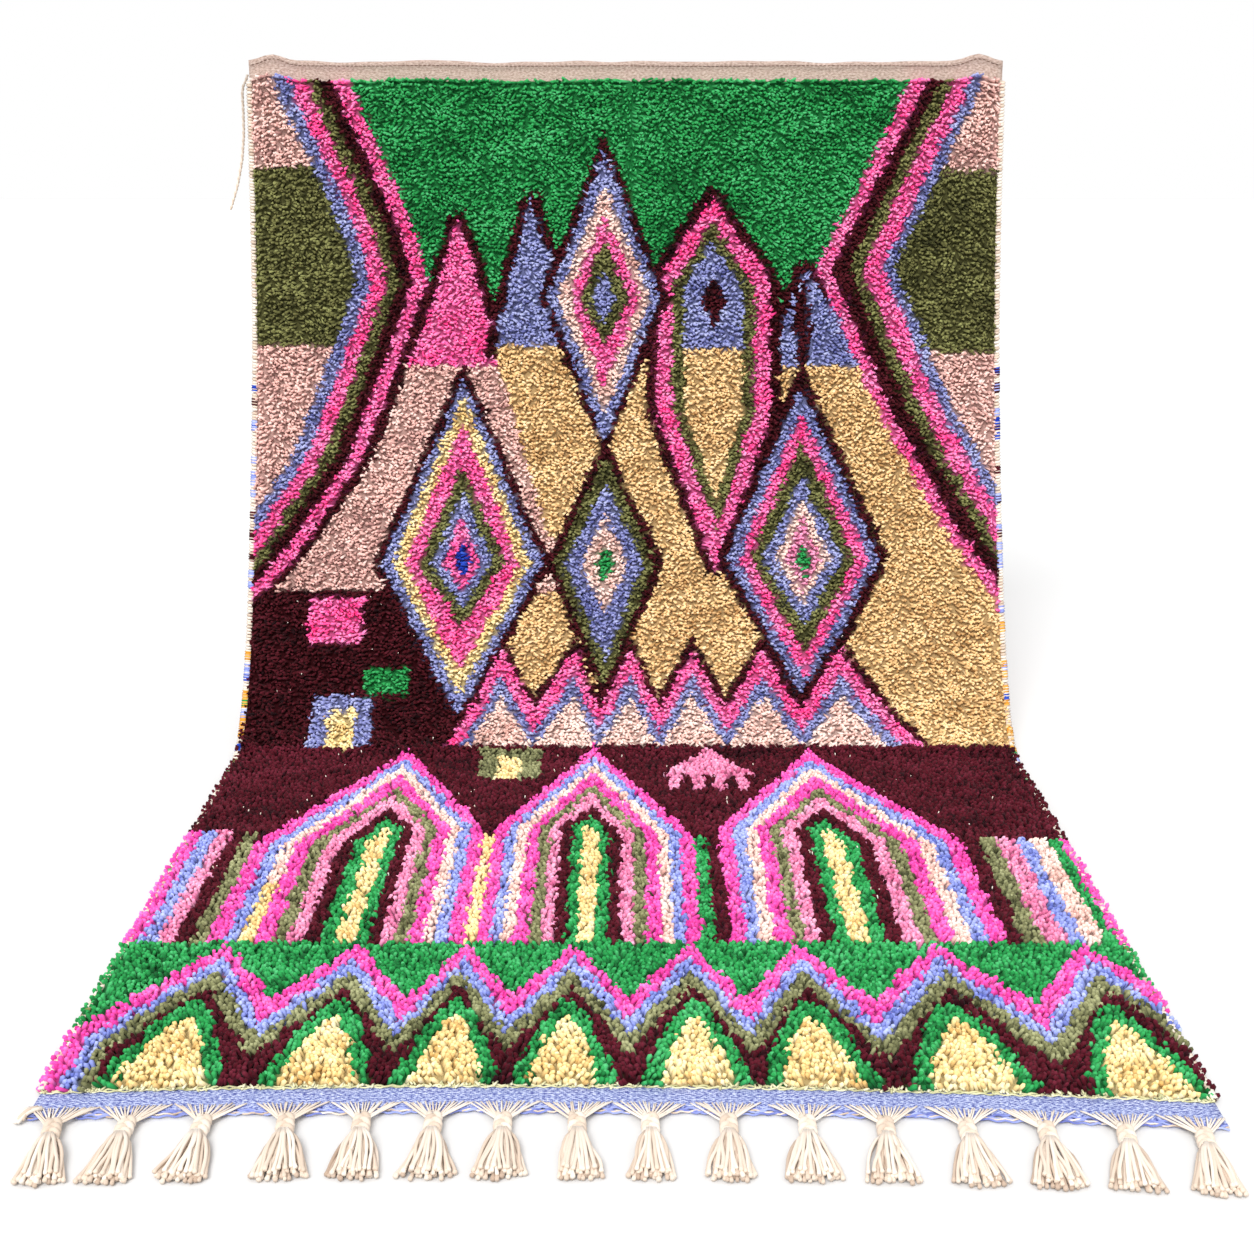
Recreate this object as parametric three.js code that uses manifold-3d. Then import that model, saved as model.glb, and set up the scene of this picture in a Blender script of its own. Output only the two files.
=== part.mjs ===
// A thick hand-knotted Azilal rug, hung by its top edge, that sweeps forward over the floor and ends in
// sixteen knotted tassels. Millimetres, +Z up, +X to the right, and +Y away from the side that is looked at.
// The origin is at floor level, in the middle of the rug's width and of its reach from back to front.
import * as THREE from "three";
import { mergeVertices } from "three/addons/utils/BufferGeometryUtils.js";
import Module from "manifold-3d";

const wasm = await Module();
wasm.setup();

// The cloth, measured along itself from its top edge
const CLOTH_HALF_WIDTH = 745;
const CLOTH_THICKNESS = 4;
const HEADER_LENGTH = 40;
const PILE_LENGTH = 2525;
const BAND_LENGTH = 46;
const HEM_LENGTH = 12;
const HEM_THICKNESS = 6.5;
const CLOTH_LENGTH = HEADER_LENGTH + PILE_LENGTH + BAND_LENGTH;

// The pile, which hides the cloth from just under the header to the foot band
const PILE_DEPTH = 22;
const PILE_OVERHANG = { reach: 5, spread: 0.4 };
const RIM_DROP = 4;
const RIM_COLUMNS = 1;
const LUMP_HEIGHT = 4.5;
const LUMP_SHIFT = 7;
const LUMP_COLUMNS = 34;
const LUMP_ROWS = 56;
const PILE_EDGE_SLOPE = 5;
const PARTING = { across: 10, halfWidth: 34, depth: 6, end: 330, fade: 80 };

// Locks of pile that stand out of both sides
const LOCKS_PER_SIDE = 46;
const LOCK_REACH = { full: 11, usual: 0.8, spread: 0.18 };
const FULL_LOCK = { every: 9, first: 4 };
const LOCK_HEIGHT = { middle: 12, spread: 2, tipDrop: 2 };
const LOCK_SPACING_SPREAD = 0.25;
const LOCK_ROOT = { along: 15, deep: 7, inside: 16 };
const LOCK_TIP = { along: 8, deep: 4 };
const LOCK_DROOP = 7;
const LOCK_BEND = 1 / 3;

// How the cloth hangs: its lean from upright towards the front, in degrees, at distances along it
const DRAPE = [
  { along: 0, lean: 6.5 },
  { along: 400, lean: 12 },
  { along: 800, lean: 21.5 },
  { along: 1100, lean: 26.5 },
  { along: 1260, lean: 35 },
  { along: 1360, lean: 55 },
  { along: 1460, lean: 90 },
];
const DRAPE_STEP = 2;

// The top edge rises a little where it is held, near both corners
const CORNER_RISE = { across: 697, halfWidth: 30, height: 14, fade: 110 };

// The foot of the cloth is drawn forward at its sides, more on the right
const FOOT_PULL = { from: 2150, skew: 10.5, bow: 25.5 };

// Tassels, from left to right: place across, turn of the skirt to the right in degrees, and width at its tips
const TASSELS = [
  { across: -705, turn: 9, spread: 66 },
  { across: -614, turn: 0, spread: 68 },
  { across: -521, turn: -1, spread: 67 },
  { across: -420, turn: 6, spread: 74 },
  { across: -326, turn: 3, spread: 69 },
  { across: -237, turn: 1, spread: 71 },
  { across: -151, turn: 1, spread: 70 },
  { across: -60, turn: 3, spread: 62 },
  { across: 31, turn: 1, spread: 60 },
  { across: 128, turn: -1, spread: 63 },
  { across: 225, turn: -2, spread: 74 },
  { across: 321, turn: -3, spread: 68 },
  { across: 420, turn: -1, spread: 70 },
  { across: 517, turn: -3, spread: 74 },
  { across: 613, turn: -7, spread: 71 },
  { across: 707, turn: -8, spread: 64 },
];
const FAN_GAP = 0.5;
const FAN_HALF_WIDTH = 42;
const FAN_LENGTH = 30;
const FAN_THICKNESS = 4;
const FAN_POINTS = 4;
const NECK = { halfWidth: 9, deep: 6 };
const FAN_WAIST = { halfWidth: 13.5, along: 0.4 };
const KNOT_LENGTH = 42;
const KNOT_FLATNESS = 0.84;
const KNOT_SIDES = 8;
const KNOT_RIDGES = [6, 10, 8.6, 11, 8.8, 10.4, 7];
const SKIRT_LENGTH = 85;
const STRAND = 5;
const STRAND_ROOT = { share: 0.12, deep: 7 };
const STRAND_BEND = { share: 0.55, along: 0.4 };
const TIP_SWELL = 1.1;
const LENGTH_VARIES = { middle: 0.95, spread: 0.04 };
const BEND_DROP = 1;

// The skirt's two layers: the share of its width and length, and how high its roots and tips lie
const STRAND_LAYERS = [
  { count: 6, width: 1, length: 1, root: 0, tip: 0, bent: false, fullest: [2, 3], seed: 0 },
  { count: 5, width: 2 / 3, length: 0.86, root: 9.2, tip: 6.2, bent: true, fullest: [], seed: 20 },
];

// The loose warp end at the top left corner: across, distance in front of the top edge, height over the floor
const THREAD_DIAMETER = 6;
const THREAD_SIDES = 8;
const THREAD_STEPS = 16;
const THREAD_ROUTE = [
  [-748.6, 7, 1264],
  [-751.5, 8, 1253],
  [-758, 9, 1244],
  [-760.5, 9, 1230],
  [-761, 8, 1195],
  [-763, 7, 1150],
  [-770, 5, 1100],
  [-783, 3, 1050],
  [-800, 1, 1004],
];

const FLAT_WITHIN = 0.05;
const SAME_POINT = 1e-4;
const TASSEL_REACH = FAN_LENGTH + KNOT_LENGTH + SKIRT_LENGTH;

const yarn = { roughness: 0.95, metalness: 0 };
const pileWool = new THREE.MeshStandardMaterial({ color: 0x8a4a5a, ...yarn });
const warpCotton = new THREE.MeshStandardMaterial({ color: 0xf0e2d8, ...yarn });

// What keeps the uneven measures of a piece apart from each other
const SEED = { lumpAcross: 100, lumpAlong: 200, lockReach: 500, lockHeight: 900 };
const SCATTER = { first: 127.1, second: 311.7, start: 5.3, size: 43758.5453 };

// A repeatable number from -1 to 1 for each pair of counts
function scatter(i, j) {
  const wave = Math.sin(i * SCATTER.first + j * SCATTER.second + SCATTER.start) * SCATTER.size;
  return 2 * (wave - Math.floor(wave)) - 1;
}

function ramp(from, to, value) {
  return THREE.MathUtils.smoothstep(value, from, to);
}

// The lean at a distance along the cloth, in radians
function leanAt(along) {
  const upper = DRAPE.findIndex((row) => row.along > along);
  if (upper < 0) return THREE.MathUtils.degToRad(DRAPE.at(-1).lean);
  if (upper === 0) return THREE.MathUtils.degToRad(DRAPE[0].lean);
  const [a, b] = [DRAPE[upper - 1], DRAPE[upper]];
  const share = (along - a.along) / (b.along - a.along);
  return THREE.MathUtils.degToRad(a.lean + share * (b.lean - a.lean));
}

// The back of the cloth as a line in the YZ plane: the hanging part is summed from the lean, the rest is flat
function drapeLine() {
  const flatFrom = DRAPE.at(-1).along;
  const line = [new THREE.Vector2(0, 0)];
  for (let along = 0; along < flatFrom; along += DRAPE_STEP) {
    const lean = leanAt(along + DRAPE_STEP / 2);
    const last = line.at(-1);
    line.push(new THREE.Vector2(last.x - Math.sin(lean) * DRAPE_STEP, last.y - Math.cos(lean) * DRAPE_STEP));
  }
  const foot = line.at(-1);
  const reach = -foot.x + CLOTH_LENGTH - flatFrom + furthestPull() + TASSEL_REACH;
  return line.map((p) => new THREE.Vector2(p.x + reach / 2, p.y - foot.y));
}

// How far the foot is drawn forward, and the most that it is where a tassel stands
function footPull(across) {
  const share = across / CLOTH_HALF_WIDTH;
  return FOOT_PULL.skew * share + FOOT_PULL.bow * share * share;
}

function furthestPull() {
  return Math.max(...TASSELS.map((t) => footPull(t.across)));
}

const backLine = drapeLine();

// A point of the cloth's back, and the way that its pile stands there
function backPoint(along) {
  const flatFrom = DRAPE.at(-1).along;
  if (along >= flatFrom) {
    const foot = backLine.at(-1);
    return { y: foot.x - (along - flatFrom), z: 0, outY: 0, outZ: 1 };
  }
  const at = Math.max(along, 0) / DRAPE_STEP;
  const i = Math.min(Math.floor(at), backLine.length - 2);
  const p = backLine[i].clone().lerp(backLine[i + 1], at - i);
  const lean = leanAt(along);
  const above = Math.min(along, 0);
  return {
    y: p.x - Math.sin(lean) * above,
    z: p.y - Math.cos(lean) * above,
    outY: -Math.cos(lean),
    outZ: Math.sin(lean),
  };
}

// A point of the rug, from its place across, its place along, and its height over the cloth's back
function place(across, along, height) {
  const off = (Math.abs(across) - CORNER_RISE.across) / CORNER_RISE.halfWidth;
  const rise = CORNER_RISE.height * Math.exp(-off * off) * (1 - ramp(0, CORNER_RISE.fade, along));
  const pull = footPull(across) * ramp(FOOT_PULL.from, CLOTH_LENGTH, along);
  const p = backPoint(along - rise + pull);
  return new THREE.Vector3(across, p.y + p.outY * height, p.z + p.outZ * height);
}

// A closed skin over rings of equally many points. A ring's first half faces its second half, end to end
function loft(rings) {
  const count = rings[0].length;
  const corners = rings.flat().flatMap((p) => [p.x, p.y, p.z]);
  const faces = [];
  const quad = (a, b, c, d) => faces.push(a, b, c, a, c, d);
  for (let r = 0; r + 1 < rings.length; r++) {
    for (let i = 0; i < count; i++) {
      const next = (i + 1) % count;
      quad(r * count + i, r * count + next, (r + 1) * count + next, (r + 1) * count + i);
    }
  }
  const last = (rings.length - 1) * count;
  for (let i = 0; i + 1 < count / 2; i++) {
    quad(i, count - 1 - i, count - 2 - i, i + 1);
    quad(last + i, last + i + 1, last + count - 2 - i, last + count - 1 - i);
  }
  const skin = new THREE.BufferGeometry();
  skin.setAttribute("position", new THREE.Float32BufferAttribute(corners, 3));
  skin.setIndex(faces);
  return skin;
}

function toSolid(geometry) {
  const bare = geometry.clone();
  bare.deleteAttribute("normal");
  bare.deleteAttribute("uv");
  const merged = mergeVertices(bare, SAME_POINT);
  return new wasm.Manifold(
    new wasm.Mesh({
      numProp: 3,
      vertProperties: merged.attributes.position.array,
      triVerts: new Uint32Array(merged.index.array),
    }),
  );
}

function toGeometry(solid) {
  const { vertProperties, triVerts } = solid.getMesh();
  const geometry = new THREE.BufferGeometry();
  geometry.setAttribute("position", new THREE.BufferAttribute(vertProperties, 3));
  geometry.setIndex(new THREE.BufferAttribute(triVerts, 1));
  return geometry;
}

// One solid of several, with the points left out that a flat face doesn't need
function join(geometries) {
  return toGeometry(wasm.Manifold.union(geometries.map(toSolid)).asOriginal().simplify(FLAT_WITHIN));
}

// A four-sided lock or strand through stations, each with a centre and two half-widths as vectors
function fourSided(stations) {
  return loft(
    stations.map(({ centre, side, up }) => [
      centre.clone().sub(side).sub(up),
      centre.clone().add(side).sub(up),
      centre.clone().add(side).add(up),
      centre.clone().sub(side).add(up),
    ]),
  );
}

// The lumpy face of the pile: its height over the cloth's back at one lump
function pileHeight(column, row, across, along) {
  const offParting = (across - PARTING.across) / PARTING.halfWidth;
  const fade = 1 - ramp(PARTING.end - PARTING.fade, PARTING.end, along);
  const parted = Math.exp(-offParting * offParting) * fade;
  const nearRim = column <= RIM_COLUMNS || column >= LUMP_COLUMNS - RIM_COLUMNS;
  return PILE_DEPTH + LUMP_HEIGHT * scatter(column, row) - PARTING.depth * parted - (nearRim ? RIM_DROP : 0);
}

// One ring across the rug, the cloth's back from left to right and then its face from right to left
function rugRing({ along, thickness, row }) {
  const piled = row !== undefined;
  const back = [];
  const face = [];
  for (let column = 0; column <= LUMP_COLUMNS; column++) {
    const across = CLOTH_HALF_WIDTH * ((2 * column) / LUMP_COLUMNS - 1);
    const edge = column === 0 || column === LUMP_COLUMNS;
    back.push(place(across, along, 0));
    if (edge) {
      const reach = piled ? PILE_OVERHANG.reach * (1 + PILE_OVERHANG.spread * scatter(column, row)) : 0;
      face.push(place(across + Math.sign(across) * reach, along, thickness / 2));
    } else if (piled) {
      const shiftedAcross = across + LUMP_SHIFT * scatter(column, row + SEED.lumpAcross);
      const shiftedAlong = along + LUMP_SHIFT * scatter(column, row + SEED.lumpAlong);
      face.push(place(shiftedAcross, shiftedAlong, pileHeight(column, row, across, along)));
    } else {
      face.push(place(across, along, thickness));
    }
  }
  return [...back, ...face.reverse()];
}

// The rows of rings down the rug: hem, header, pile and foot band
function rugRows() {
  const pileFrom = HEADER_LENGTH;
  const pileTo = HEADER_LENGTH + PILE_LENGTH;
  const rows = [
    { along: 0, thickness: HEM_THICKNESS },
    { along: HEM_LENGTH, thickness: HEM_THICKNESS },
    { along: HEM_LENGTH + 1, thickness: CLOTH_THICKNESS },
    { along: pileFrom, thickness: CLOTH_THICKNESS },
  ];
  const from = pileFrom + PILE_EDGE_SLOPE + LUMP_SHIFT;
  const to = pileTo - PILE_EDGE_SLOPE - LUMP_SHIFT;
  for (let row = 0; row <= LUMP_ROWS; row++) {
    rows.push({ along: from + ((to - from) * row) / LUMP_ROWS, thickness: PILE_DEPTH, row });
  }
  rows.push({ along: pileTo, thickness: CLOTH_THICKNESS });
  rows.push({ along: CLOTH_LENGTH, thickness: CLOTH_THICKNESS });
  return rows;
}

// A lock on one side of the rug, fused in the slab and hanging a little down the cloth
function rimLock(side, count) {
  const spacing = (PILE_LENGTH - 2 * LOCK_ROOT.along) / LOCKS_PER_SIDE;
  const down = (count + 0.5 + LOCK_SPACING_SPREAD * scatter(side, count)) * spacing;
  const along = HEADER_LENGTH + LOCK_ROOT.along + down;
  const full = count % FULL_LOCK.every === FULL_LOCK.first;
  const share = full ? 1 : LOCK_REACH.usual + LOCK_REACH.spread * scatter(side, count + SEED.lockReach);
  const reach = LOCK_REACH.full * share;
  const height = LOCK_HEIGHT.middle + LOCK_HEIGHT.spread * scatter(side, count + SEED.lockHeight);
  const station = (across, at, high, size) => {
    const centre = place(across, at, high);
    const halfAlong = place(across, at + size.along / 2, high).sub(centre);
    const halfDeep = place(across, at, high + size.deep / 2).sub(centre);
    return { centre, side: halfAlong.multiplyScalar(-side), up: halfDeep };
  };
  return fourSided([
    station(side * (CLOTH_HALF_WIDTH - LOCK_ROOT.inside), along, height, LOCK_ROOT),
    station(side * (CLOTH_HALF_WIDTH + reach * LOCK_BEND), along + LOCK_DROOP * LOCK_BEND, height, LOCK_ROOT),
    station(side * (CLOTH_HALF_WIDTH + reach), along + LOCK_DROOP, height - LOCK_HEIGHT.tipDrop, LOCK_TIP),
  ]);
}

function rug() {
  const pieces = [loft(rugRows().map(rugRing))];
  for (let count = 0; count < LOCKS_PER_SIDE; count++) {
    pieces.push(rimLock(-1, count), rimLock(1, count));
  }
  return join(pieces);
}

// Warp ends gathered from the foot band's edge to the neck, as one flat web
function fan(across) {
  const outline = [];
  for (let i = 0; i <= FAN_POINTS; i++) {
    const x = across + FAN_HALF_WIDTH * ((2 * i) / FAN_POINTS - 1);
    const edge = place(x, CLOTH_LENGTH, 0);
    outline.push(new THREE.Vector2(edge.x - across, edge.y - FAN_GAP));
  }
  const neck = place(across, CLOTH_LENGTH, 0).y - FAN_LENGTH;
  outline.push(new THREE.Vector2(FAN_WAIST.halfWidth, neck + FAN_LENGTH * FAN_WAIST.along));
  outline.push(new THREE.Vector2(NECK.halfWidth, neck - NECK.deep));
  outline.push(new THREE.Vector2(-NECK.halfWidth, neck - NECK.deep));
  outline.push(new THREE.Vector2(-FAN_WAIST.halfWidth, neck + FAN_LENGTH * FAN_WAIST.along));
  const web = new THREE.ExtrudeGeometry(new THREE.Shape(outline.reverse()), {
    depth: FAN_THICKNESS,
    bevelEnabled: false,
  });
  return web.translate(across, 0, 0);
}

// The plaited knot, ridged along its length and a little flattened, lying on the floor
function knot() {
  const steps = KNOT_RIDGES.length - 1;
  const ridges = KNOT_RIDGES.map((r, i) => new THREE.Vector2(r, (KNOT_LENGTH * i) / steps));
  const profile = [new THREE.Vector2(0, 0), ...ridges, new THREE.Vector2(0, KNOT_LENGTH)];
  const widest = Math.max(...KNOT_RIDGES);
  return new THREE.LatheGeometry(profile, KNOT_SIDES, Math.PI / KNOT_SIDES)
    .rotateX(Math.PI)
    .scale(1, 1, KNOT_FLATNESS)
    .translate(0, 0, widest * KNOT_FLATNESS * Math.cos(Math.PI / KNOT_SIDES));
}

// One strand of a skirt. Lower ones lie level on the floor, and upper ones lie on them
function strand(half, length, layer) {
  const up = new THREE.Vector3(0, 0, STRAND / 2);
  const root = {
    x: half * STRAND_ROOT.share,
    y: STRAND_ROOT.deep - KNOT_LENGTH,
    lift: layer.root,
    width: STRAND,
  };
  const tip = { x: half, y: -KNOT_LENGTH - length, lift: layer.tip, width: STRAND * TIP_SWELL };
  const bend = {
    x: half * STRAND_BEND.share,
    y: -KNOT_LENGTH - length * STRAND_BEND.along,
    lift: layer.root - BEND_DROP,
    width: STRAND,
  };
  const stations = layer.bent ? [root, bend, tip] : [root, tip];
  return fourSided(
    stations.map(({ x, y, lift, width }) => ({
      centre: new THREE.Vector3(x, y, STRAND / 2 + lift),
      side: new THREE.Vector3(width / 2, 0, 0),
      up,
    })),
  );
}

function tassel({ across, turn, spread }, index) {
  const neck = place(across, CLOTH_LENGTH, 0).y - FAN_LENGTH;
  const head = [knot()];
  for (const layer of STRAND_LAYERS) {
    for (let i = 0; i < layer.count; i++) {
      const half = (spread / 2) * layer.width * ((2 * i) / (layer.count - 1) - 1);
      const varied = LENGTH_VARIES.middle + LENGTH_VARIES.spread * scatter(index, i + layer.seed);
      const length = SKIRT_LENGTH * layer.length * (layer.fullest.includes(i) ? 1 : varied);
      head.push(strand(half, length, layer));
    }
  }
  const angle = THREE.MathUtils.degToRad(turn);
  head.forEach((piece) => piece.rotateZ(angle).translate(across, neck, 0));
  return join([fan(across), ...head]);
}

// A slack two-ply end of yarn from the top left corner, hanging down beside the pile
function looseThread() {
  const top = place(0, 0, 0).y;
  const route = new THREE.CatmullRomCurve3(
    THREAD_ROUTE.map(([across, front, high]) => new THREE.Vector3(across, top - front, high)),
  );
  const section = new THREE.Shape();
  for (let i = 0; i < THREAD_SIDES; i++) {
    const angle = (2 * Math.PI * i) / THREAD_SIDES;
    const [x, y] = [Math.cos(angle), Math.sin(angle)].map((v) => (v * THREAD_DIAMETER) / 2);
    if (i === 0) section.moveTo(x, y);
    else section.lineTo(x, y);
  }
  section.closePath();
  return new THREE.ExtrudeGeometry(section, { steps: THREAD_STEPS, bevelEnabled: false, extrudePath: route });
}

function addNode(group, name, geometry, material) {
  const node = new THREE.Mesh(geometry, material);
  node.name = name;
  group.add(node);
}

const wholeRug = new THREE.Group();
addNode(wholeRug, "rug", rug(), pileWool);
TASSELS.forEach((row, i) => {
  addNode(wholeRug, `tassel_${String(i + 1).padStart(2, "0")}`, tassel(row, i), warpCotton);
});
addNode(wholeRug, "loose_thread", looseThread(), warpCotton);

export default wholeRug;
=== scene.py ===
"""The looks of a thick hand-knotted Azilal rug: it hangs by its flat-woven header, sweeps forward over the
floor and ends in a flat-woven foot band with sixteen knotted cotton tassels. Metres, +Z up, pile faces -Y."""
import math

import bpy
import numpy as np
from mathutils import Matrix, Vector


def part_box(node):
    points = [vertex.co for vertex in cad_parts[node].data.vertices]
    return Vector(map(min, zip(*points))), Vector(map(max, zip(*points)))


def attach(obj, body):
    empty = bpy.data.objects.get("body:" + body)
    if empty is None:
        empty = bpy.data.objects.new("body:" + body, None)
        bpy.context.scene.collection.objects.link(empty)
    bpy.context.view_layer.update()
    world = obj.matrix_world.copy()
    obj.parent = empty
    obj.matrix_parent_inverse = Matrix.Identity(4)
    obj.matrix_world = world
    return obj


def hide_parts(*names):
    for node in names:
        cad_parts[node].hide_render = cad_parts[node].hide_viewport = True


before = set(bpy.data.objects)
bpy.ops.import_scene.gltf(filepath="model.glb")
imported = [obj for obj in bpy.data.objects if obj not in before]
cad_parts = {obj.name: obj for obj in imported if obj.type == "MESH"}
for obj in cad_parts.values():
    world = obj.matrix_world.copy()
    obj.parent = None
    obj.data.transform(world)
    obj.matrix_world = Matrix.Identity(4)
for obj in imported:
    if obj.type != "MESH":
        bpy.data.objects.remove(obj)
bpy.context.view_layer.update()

SEED = 11

# The cloth, measured across from its middle and along itself from its top edge
HALF_WIDTH = 0.745
CLOTH_LENGTH = 2.611
HEADER_END = 0.040
BAND_START = 2.565
FLOOR_START = 1.400

# How it hangs: distance along the cloth, and its lean from upright in degrees
DRAPE = ((0.0, 6.5), (0.4, 12), (0.8, 21.5), (1.1, 26.5), (1.26, 35), (1.36, 55), (1.46, 90))
FLAT_START = DRAPE[-1][0]
DRAPE_STEP = 0.002

# The top edge rises near both corners, and the foot is drawn forward at its sides
CORNER = {"across": 0.697, "half_width": 0.030, "height": 0.014, "fade": 0.110}
FOOT_PULL = {"start": 2.150, "skew": 0.0105, "bow": 0.0255}

# The loose warp end at the top left corner: across, distance in front of the top edge, height over the floor
THREAD_ROUTE = (
    (-0.7486, 0.007, 1.264), (-0.7515, 0.008, 1.253), (-0.758, 0.009, 1.244), (-0.7605, 0.009, 1.230),
    (-0.761, 0.008, 1.195), (-0.763, 0.007, 1.150), (-0.770, 0.005, 1.100), (-0.783, 0.003, 1.050),
    (-0.800, 0.001, 1.004),
)
THREAD_THICKNESS = 0.006
THREAD_TWIST = 0.015
THREAD_STEPS = 100
THREAD_SMOOTHING = 6

# Tassels from left to right: place across, turn of the skirt to the right in degrees, width at the tips
TASSELS = (
    (-0.705, 9, 0.066), (-0.614, 0, 0.068), (-0.521, -1, 0.067), (-0.420, 6, 0.074), (-0.326, 3, 0.069),
    (-0.237, 1, 0.071), (-0.151, 1, 0.070), (-0.060, 3, 0.062), (0.031, 1, 0.060), (0.128, -1, 0.063),
    (0.225, -2, 0.074), (0.321, -3, 0.068), (0.420, -1, 0.070), (0.517, -3, 0.074), (0.613, -7, 0.071),
    (0.707, -8, 0.064),
)
FAN = {"half_width": 0.045, "length": 0.030}
KNOT = {"length": 0.042, "half_width": 0.0078}
SKIRT_LENGTH = 0.085

# Dyed wool, each as it looks in shade, in full light and at its lightest yarn ends
WOOL = {
    "green": ("#0f5427", "#2a994e", "#50ba74"),
    "olive": ("#33341a", "#6b6a3e", "#92945c"),
    "moss": ("#43452a", "#83845c", "#a8aa7e"),
    "pale_pink": ("#a77974", "#f1c2b7", "#fce0d7"),
    "hot_pink": ("#fb3684", "#ff6cb0", "#ffa0ce"),
    "magenta": ("#cc2f8c", "#fd58b6", "#ff84cc"),
    "rose": ("#c65c86", "#f092b9", "#fab8d2"),
    "oxblood": ("#180207", "#400811", "#581a26"),
    "maroon": ("#26040d", "#4c0b19", "#661f2f"),
    "periwinkle": ("#4d528c", "#8e93c8", "#b6bce4"),
    "sky": ("#5c68b4", "#96a2e4", "#bac5f4"),
    "tan": ("#b08450", "#f4cd92", "#ffe4b4"),
    "cream": ("#d2a864", "#fadf9e", "#fff0c4"),
    "peach": ("#cc9c90", "#f8d4c8", "#fdeae0"),
    "navy": ("#0a1a60", "#1637a8", "#3c5cc4"),
}
WOOL_NAMES = tuple(WOOL)
COTTON = ("#9c7f69", "#dccab8", "#f2e9de")


def linear(hex_colour):
    """A linear colour from an sRGB hex value."""
    parts = [int(hex_colour[i:i + 2], 16) / 255 for i in (1, 3, 5)]
    return tuple(c / 12.92 if c <= 0.04045 else ((c + 0.055) / 1.055) ** 2.4 for c in parts)


def ramp(low, high, value):
    """A smooth rise from 0 at low to 1 at high."""
    share = np.clip((value - low) / (high - low), 0, 1)
    return share * share * (3 - 2 * share)


def drape_line():
    """The cloth's back in the YZ plane, from the top edge down to where it lies flat."""
    at, lean = zip(*DRAPE)
    middles = np.arange(0, FLAT_START, DRAPE_STEP) + DRAPE_STEP / 2
    leans = np.radians(np.interp(middles, at, lean))
    y = np.concatenate([[0], -np.cumsum(np.sin(leans)) * DRAPE_STEP])
    z = np.concatenate([[0], -np.cumsum(np.cos(leans)) * DRAPE_STEP])
    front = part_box("rug")[0].y + CLOTH_LENGTH + FOOT_PULL["skew"] + FOOT_PULL["bow"] - FLAT_START
    return y + front - y[-1], z - z[-1]


LINE_Y, LINE_Z = drape_line()
TOP_Y = LINE_Y[0]


def place(across, along, height):
    """A point of the rug, from its place on the cloth and its height over the cloth's back."""
    across, along, height = np.broadcast_arrays(*(np.asarray(a, float) for a in (across, along, height)))
    off = (np.abs(across) - CORNER["across"]) / CORNER["half_width"]
    rise = CORNER["height"] * np.exp(-off * off) * (1 - ramp(0, CORNER["fade"], along))
    share = across / HALF_WIDTH
    pull = (FOOT_PULL["skew"] + FOOT_PULL["bow"] * share) * share
    pull = pull * ramp(FOOT_PULL["start"], CLOTH_LENGTH, along)
    run = along - rise + pull
    lean = np.radians(np.interp(run, *zip(*DRAPE)))
    stations = np.arange(len(LINE_Y)) * DRAPE_STEP
    y = np.where(run >= FLAT_START, LINE_Y[-1] - (run - FLAT_START), np.interp(run, stations, LINE_Y))
    z = np.interp(run, stations, LINE_Z) + np.where(run < 0, -run * np.cos(lean), 0)
    return np.stack([across, y - np.cos(lean) * height, z + np.sin(lean) * height], -1)


FULL_TURN = 2 * math.pi
# Unevenness is the sum of a few waves, brought back to about 1
NOISE_WAVES = 7
NOISE_REACH = 3.2


def smooth_noise(across, along, size, seed):
    """Slow waves over the cloth, about -1 to 1, with features of that size in metres."""
    rng = np.random.default_rng(SEED + seed)
    total = np.zeros(np.shape(across))
    for _ in range(NOISE_WAVES):
        angle = rng.uniform(0, FULL_TURN)
        phase = rng.uniform(0, FULL_TURN)
        wave = FULL_TURN / (2 * size * rng.uniform(0.7, 1.5))
        total = total + np.sin(wave * (np.cos(angle) * across + np.sin(angle) * along) + phase)
    return total / NOISE_REACH


# Camera

CAMERA_PLACE = (0.0025, TOP_Y - 3.6217, 1.2165)
CAMERA_PITCH = math.radians(16.836)


def make_camera():
    """A camera of 50 mm, a little lower than the rug's top edge and pitched down."""
    bpy.ops.object.camera_add(location=CAMERA_PLACE, rotation=(math.pi / 2 - CAMERA_PITCH, 0, 0))
    camera = bpy.context.object
    camera.name = "camera"
    camera.data.lens = 50
    camera.data.sensor_width = 36
    camera.data.clip_end = 60
    bpy.context.scene.camera = camera


# Yarn models, made once and copied along many paths

def deselect():
    bpy.ops.object.select_all(action="DESELECT")


def yarn_model(name, sides, rings, capped_root=True, rounded=False):
    """A straight yarn of radius 1 and length 1, with a ring of corners at each height: points and triangles.
    A rounded one closes in a point at its tip."""
    deselect()
    bpy.ops.mesh.primitive_circle_add(vertices=sides, radius=1, fill_type="NGON", location=(0, 0, 0))
    model = bpy.context.object
    model.name = name
    bpy.ops.object.mode_set(mode="EDIT")
    for low, high in zip(rings, rings[1:]):
        bpy.ops.mesh.extrude_region_move(TRANSFORM_OT_translate={"value": (0, 0, high - low)})
    if rounded:
        bpy.ops.mesh.merge(type="CENTER")
    bpy.ops.mesh.select_all(action="SELECT")
    bpy.ops.mesh.normals_make_consistent(inside=False)
    bpy.ops.mesh.quads_convert_to_tris(ngon_method="BEAUTY")
    bpy.ops.object.mode_set(mode="OBJECT")
    points = np.array([v.co for v in model.data.vertices])
    triangles = np.array([p.vertices for p in model.data.polygons])
    if not capped_root:
        triangles = triangles[points[triangles][:, :, 2].max(1) > 1e-4]
    bpy.data.objects.remove(model)
    return points, triangles


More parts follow.
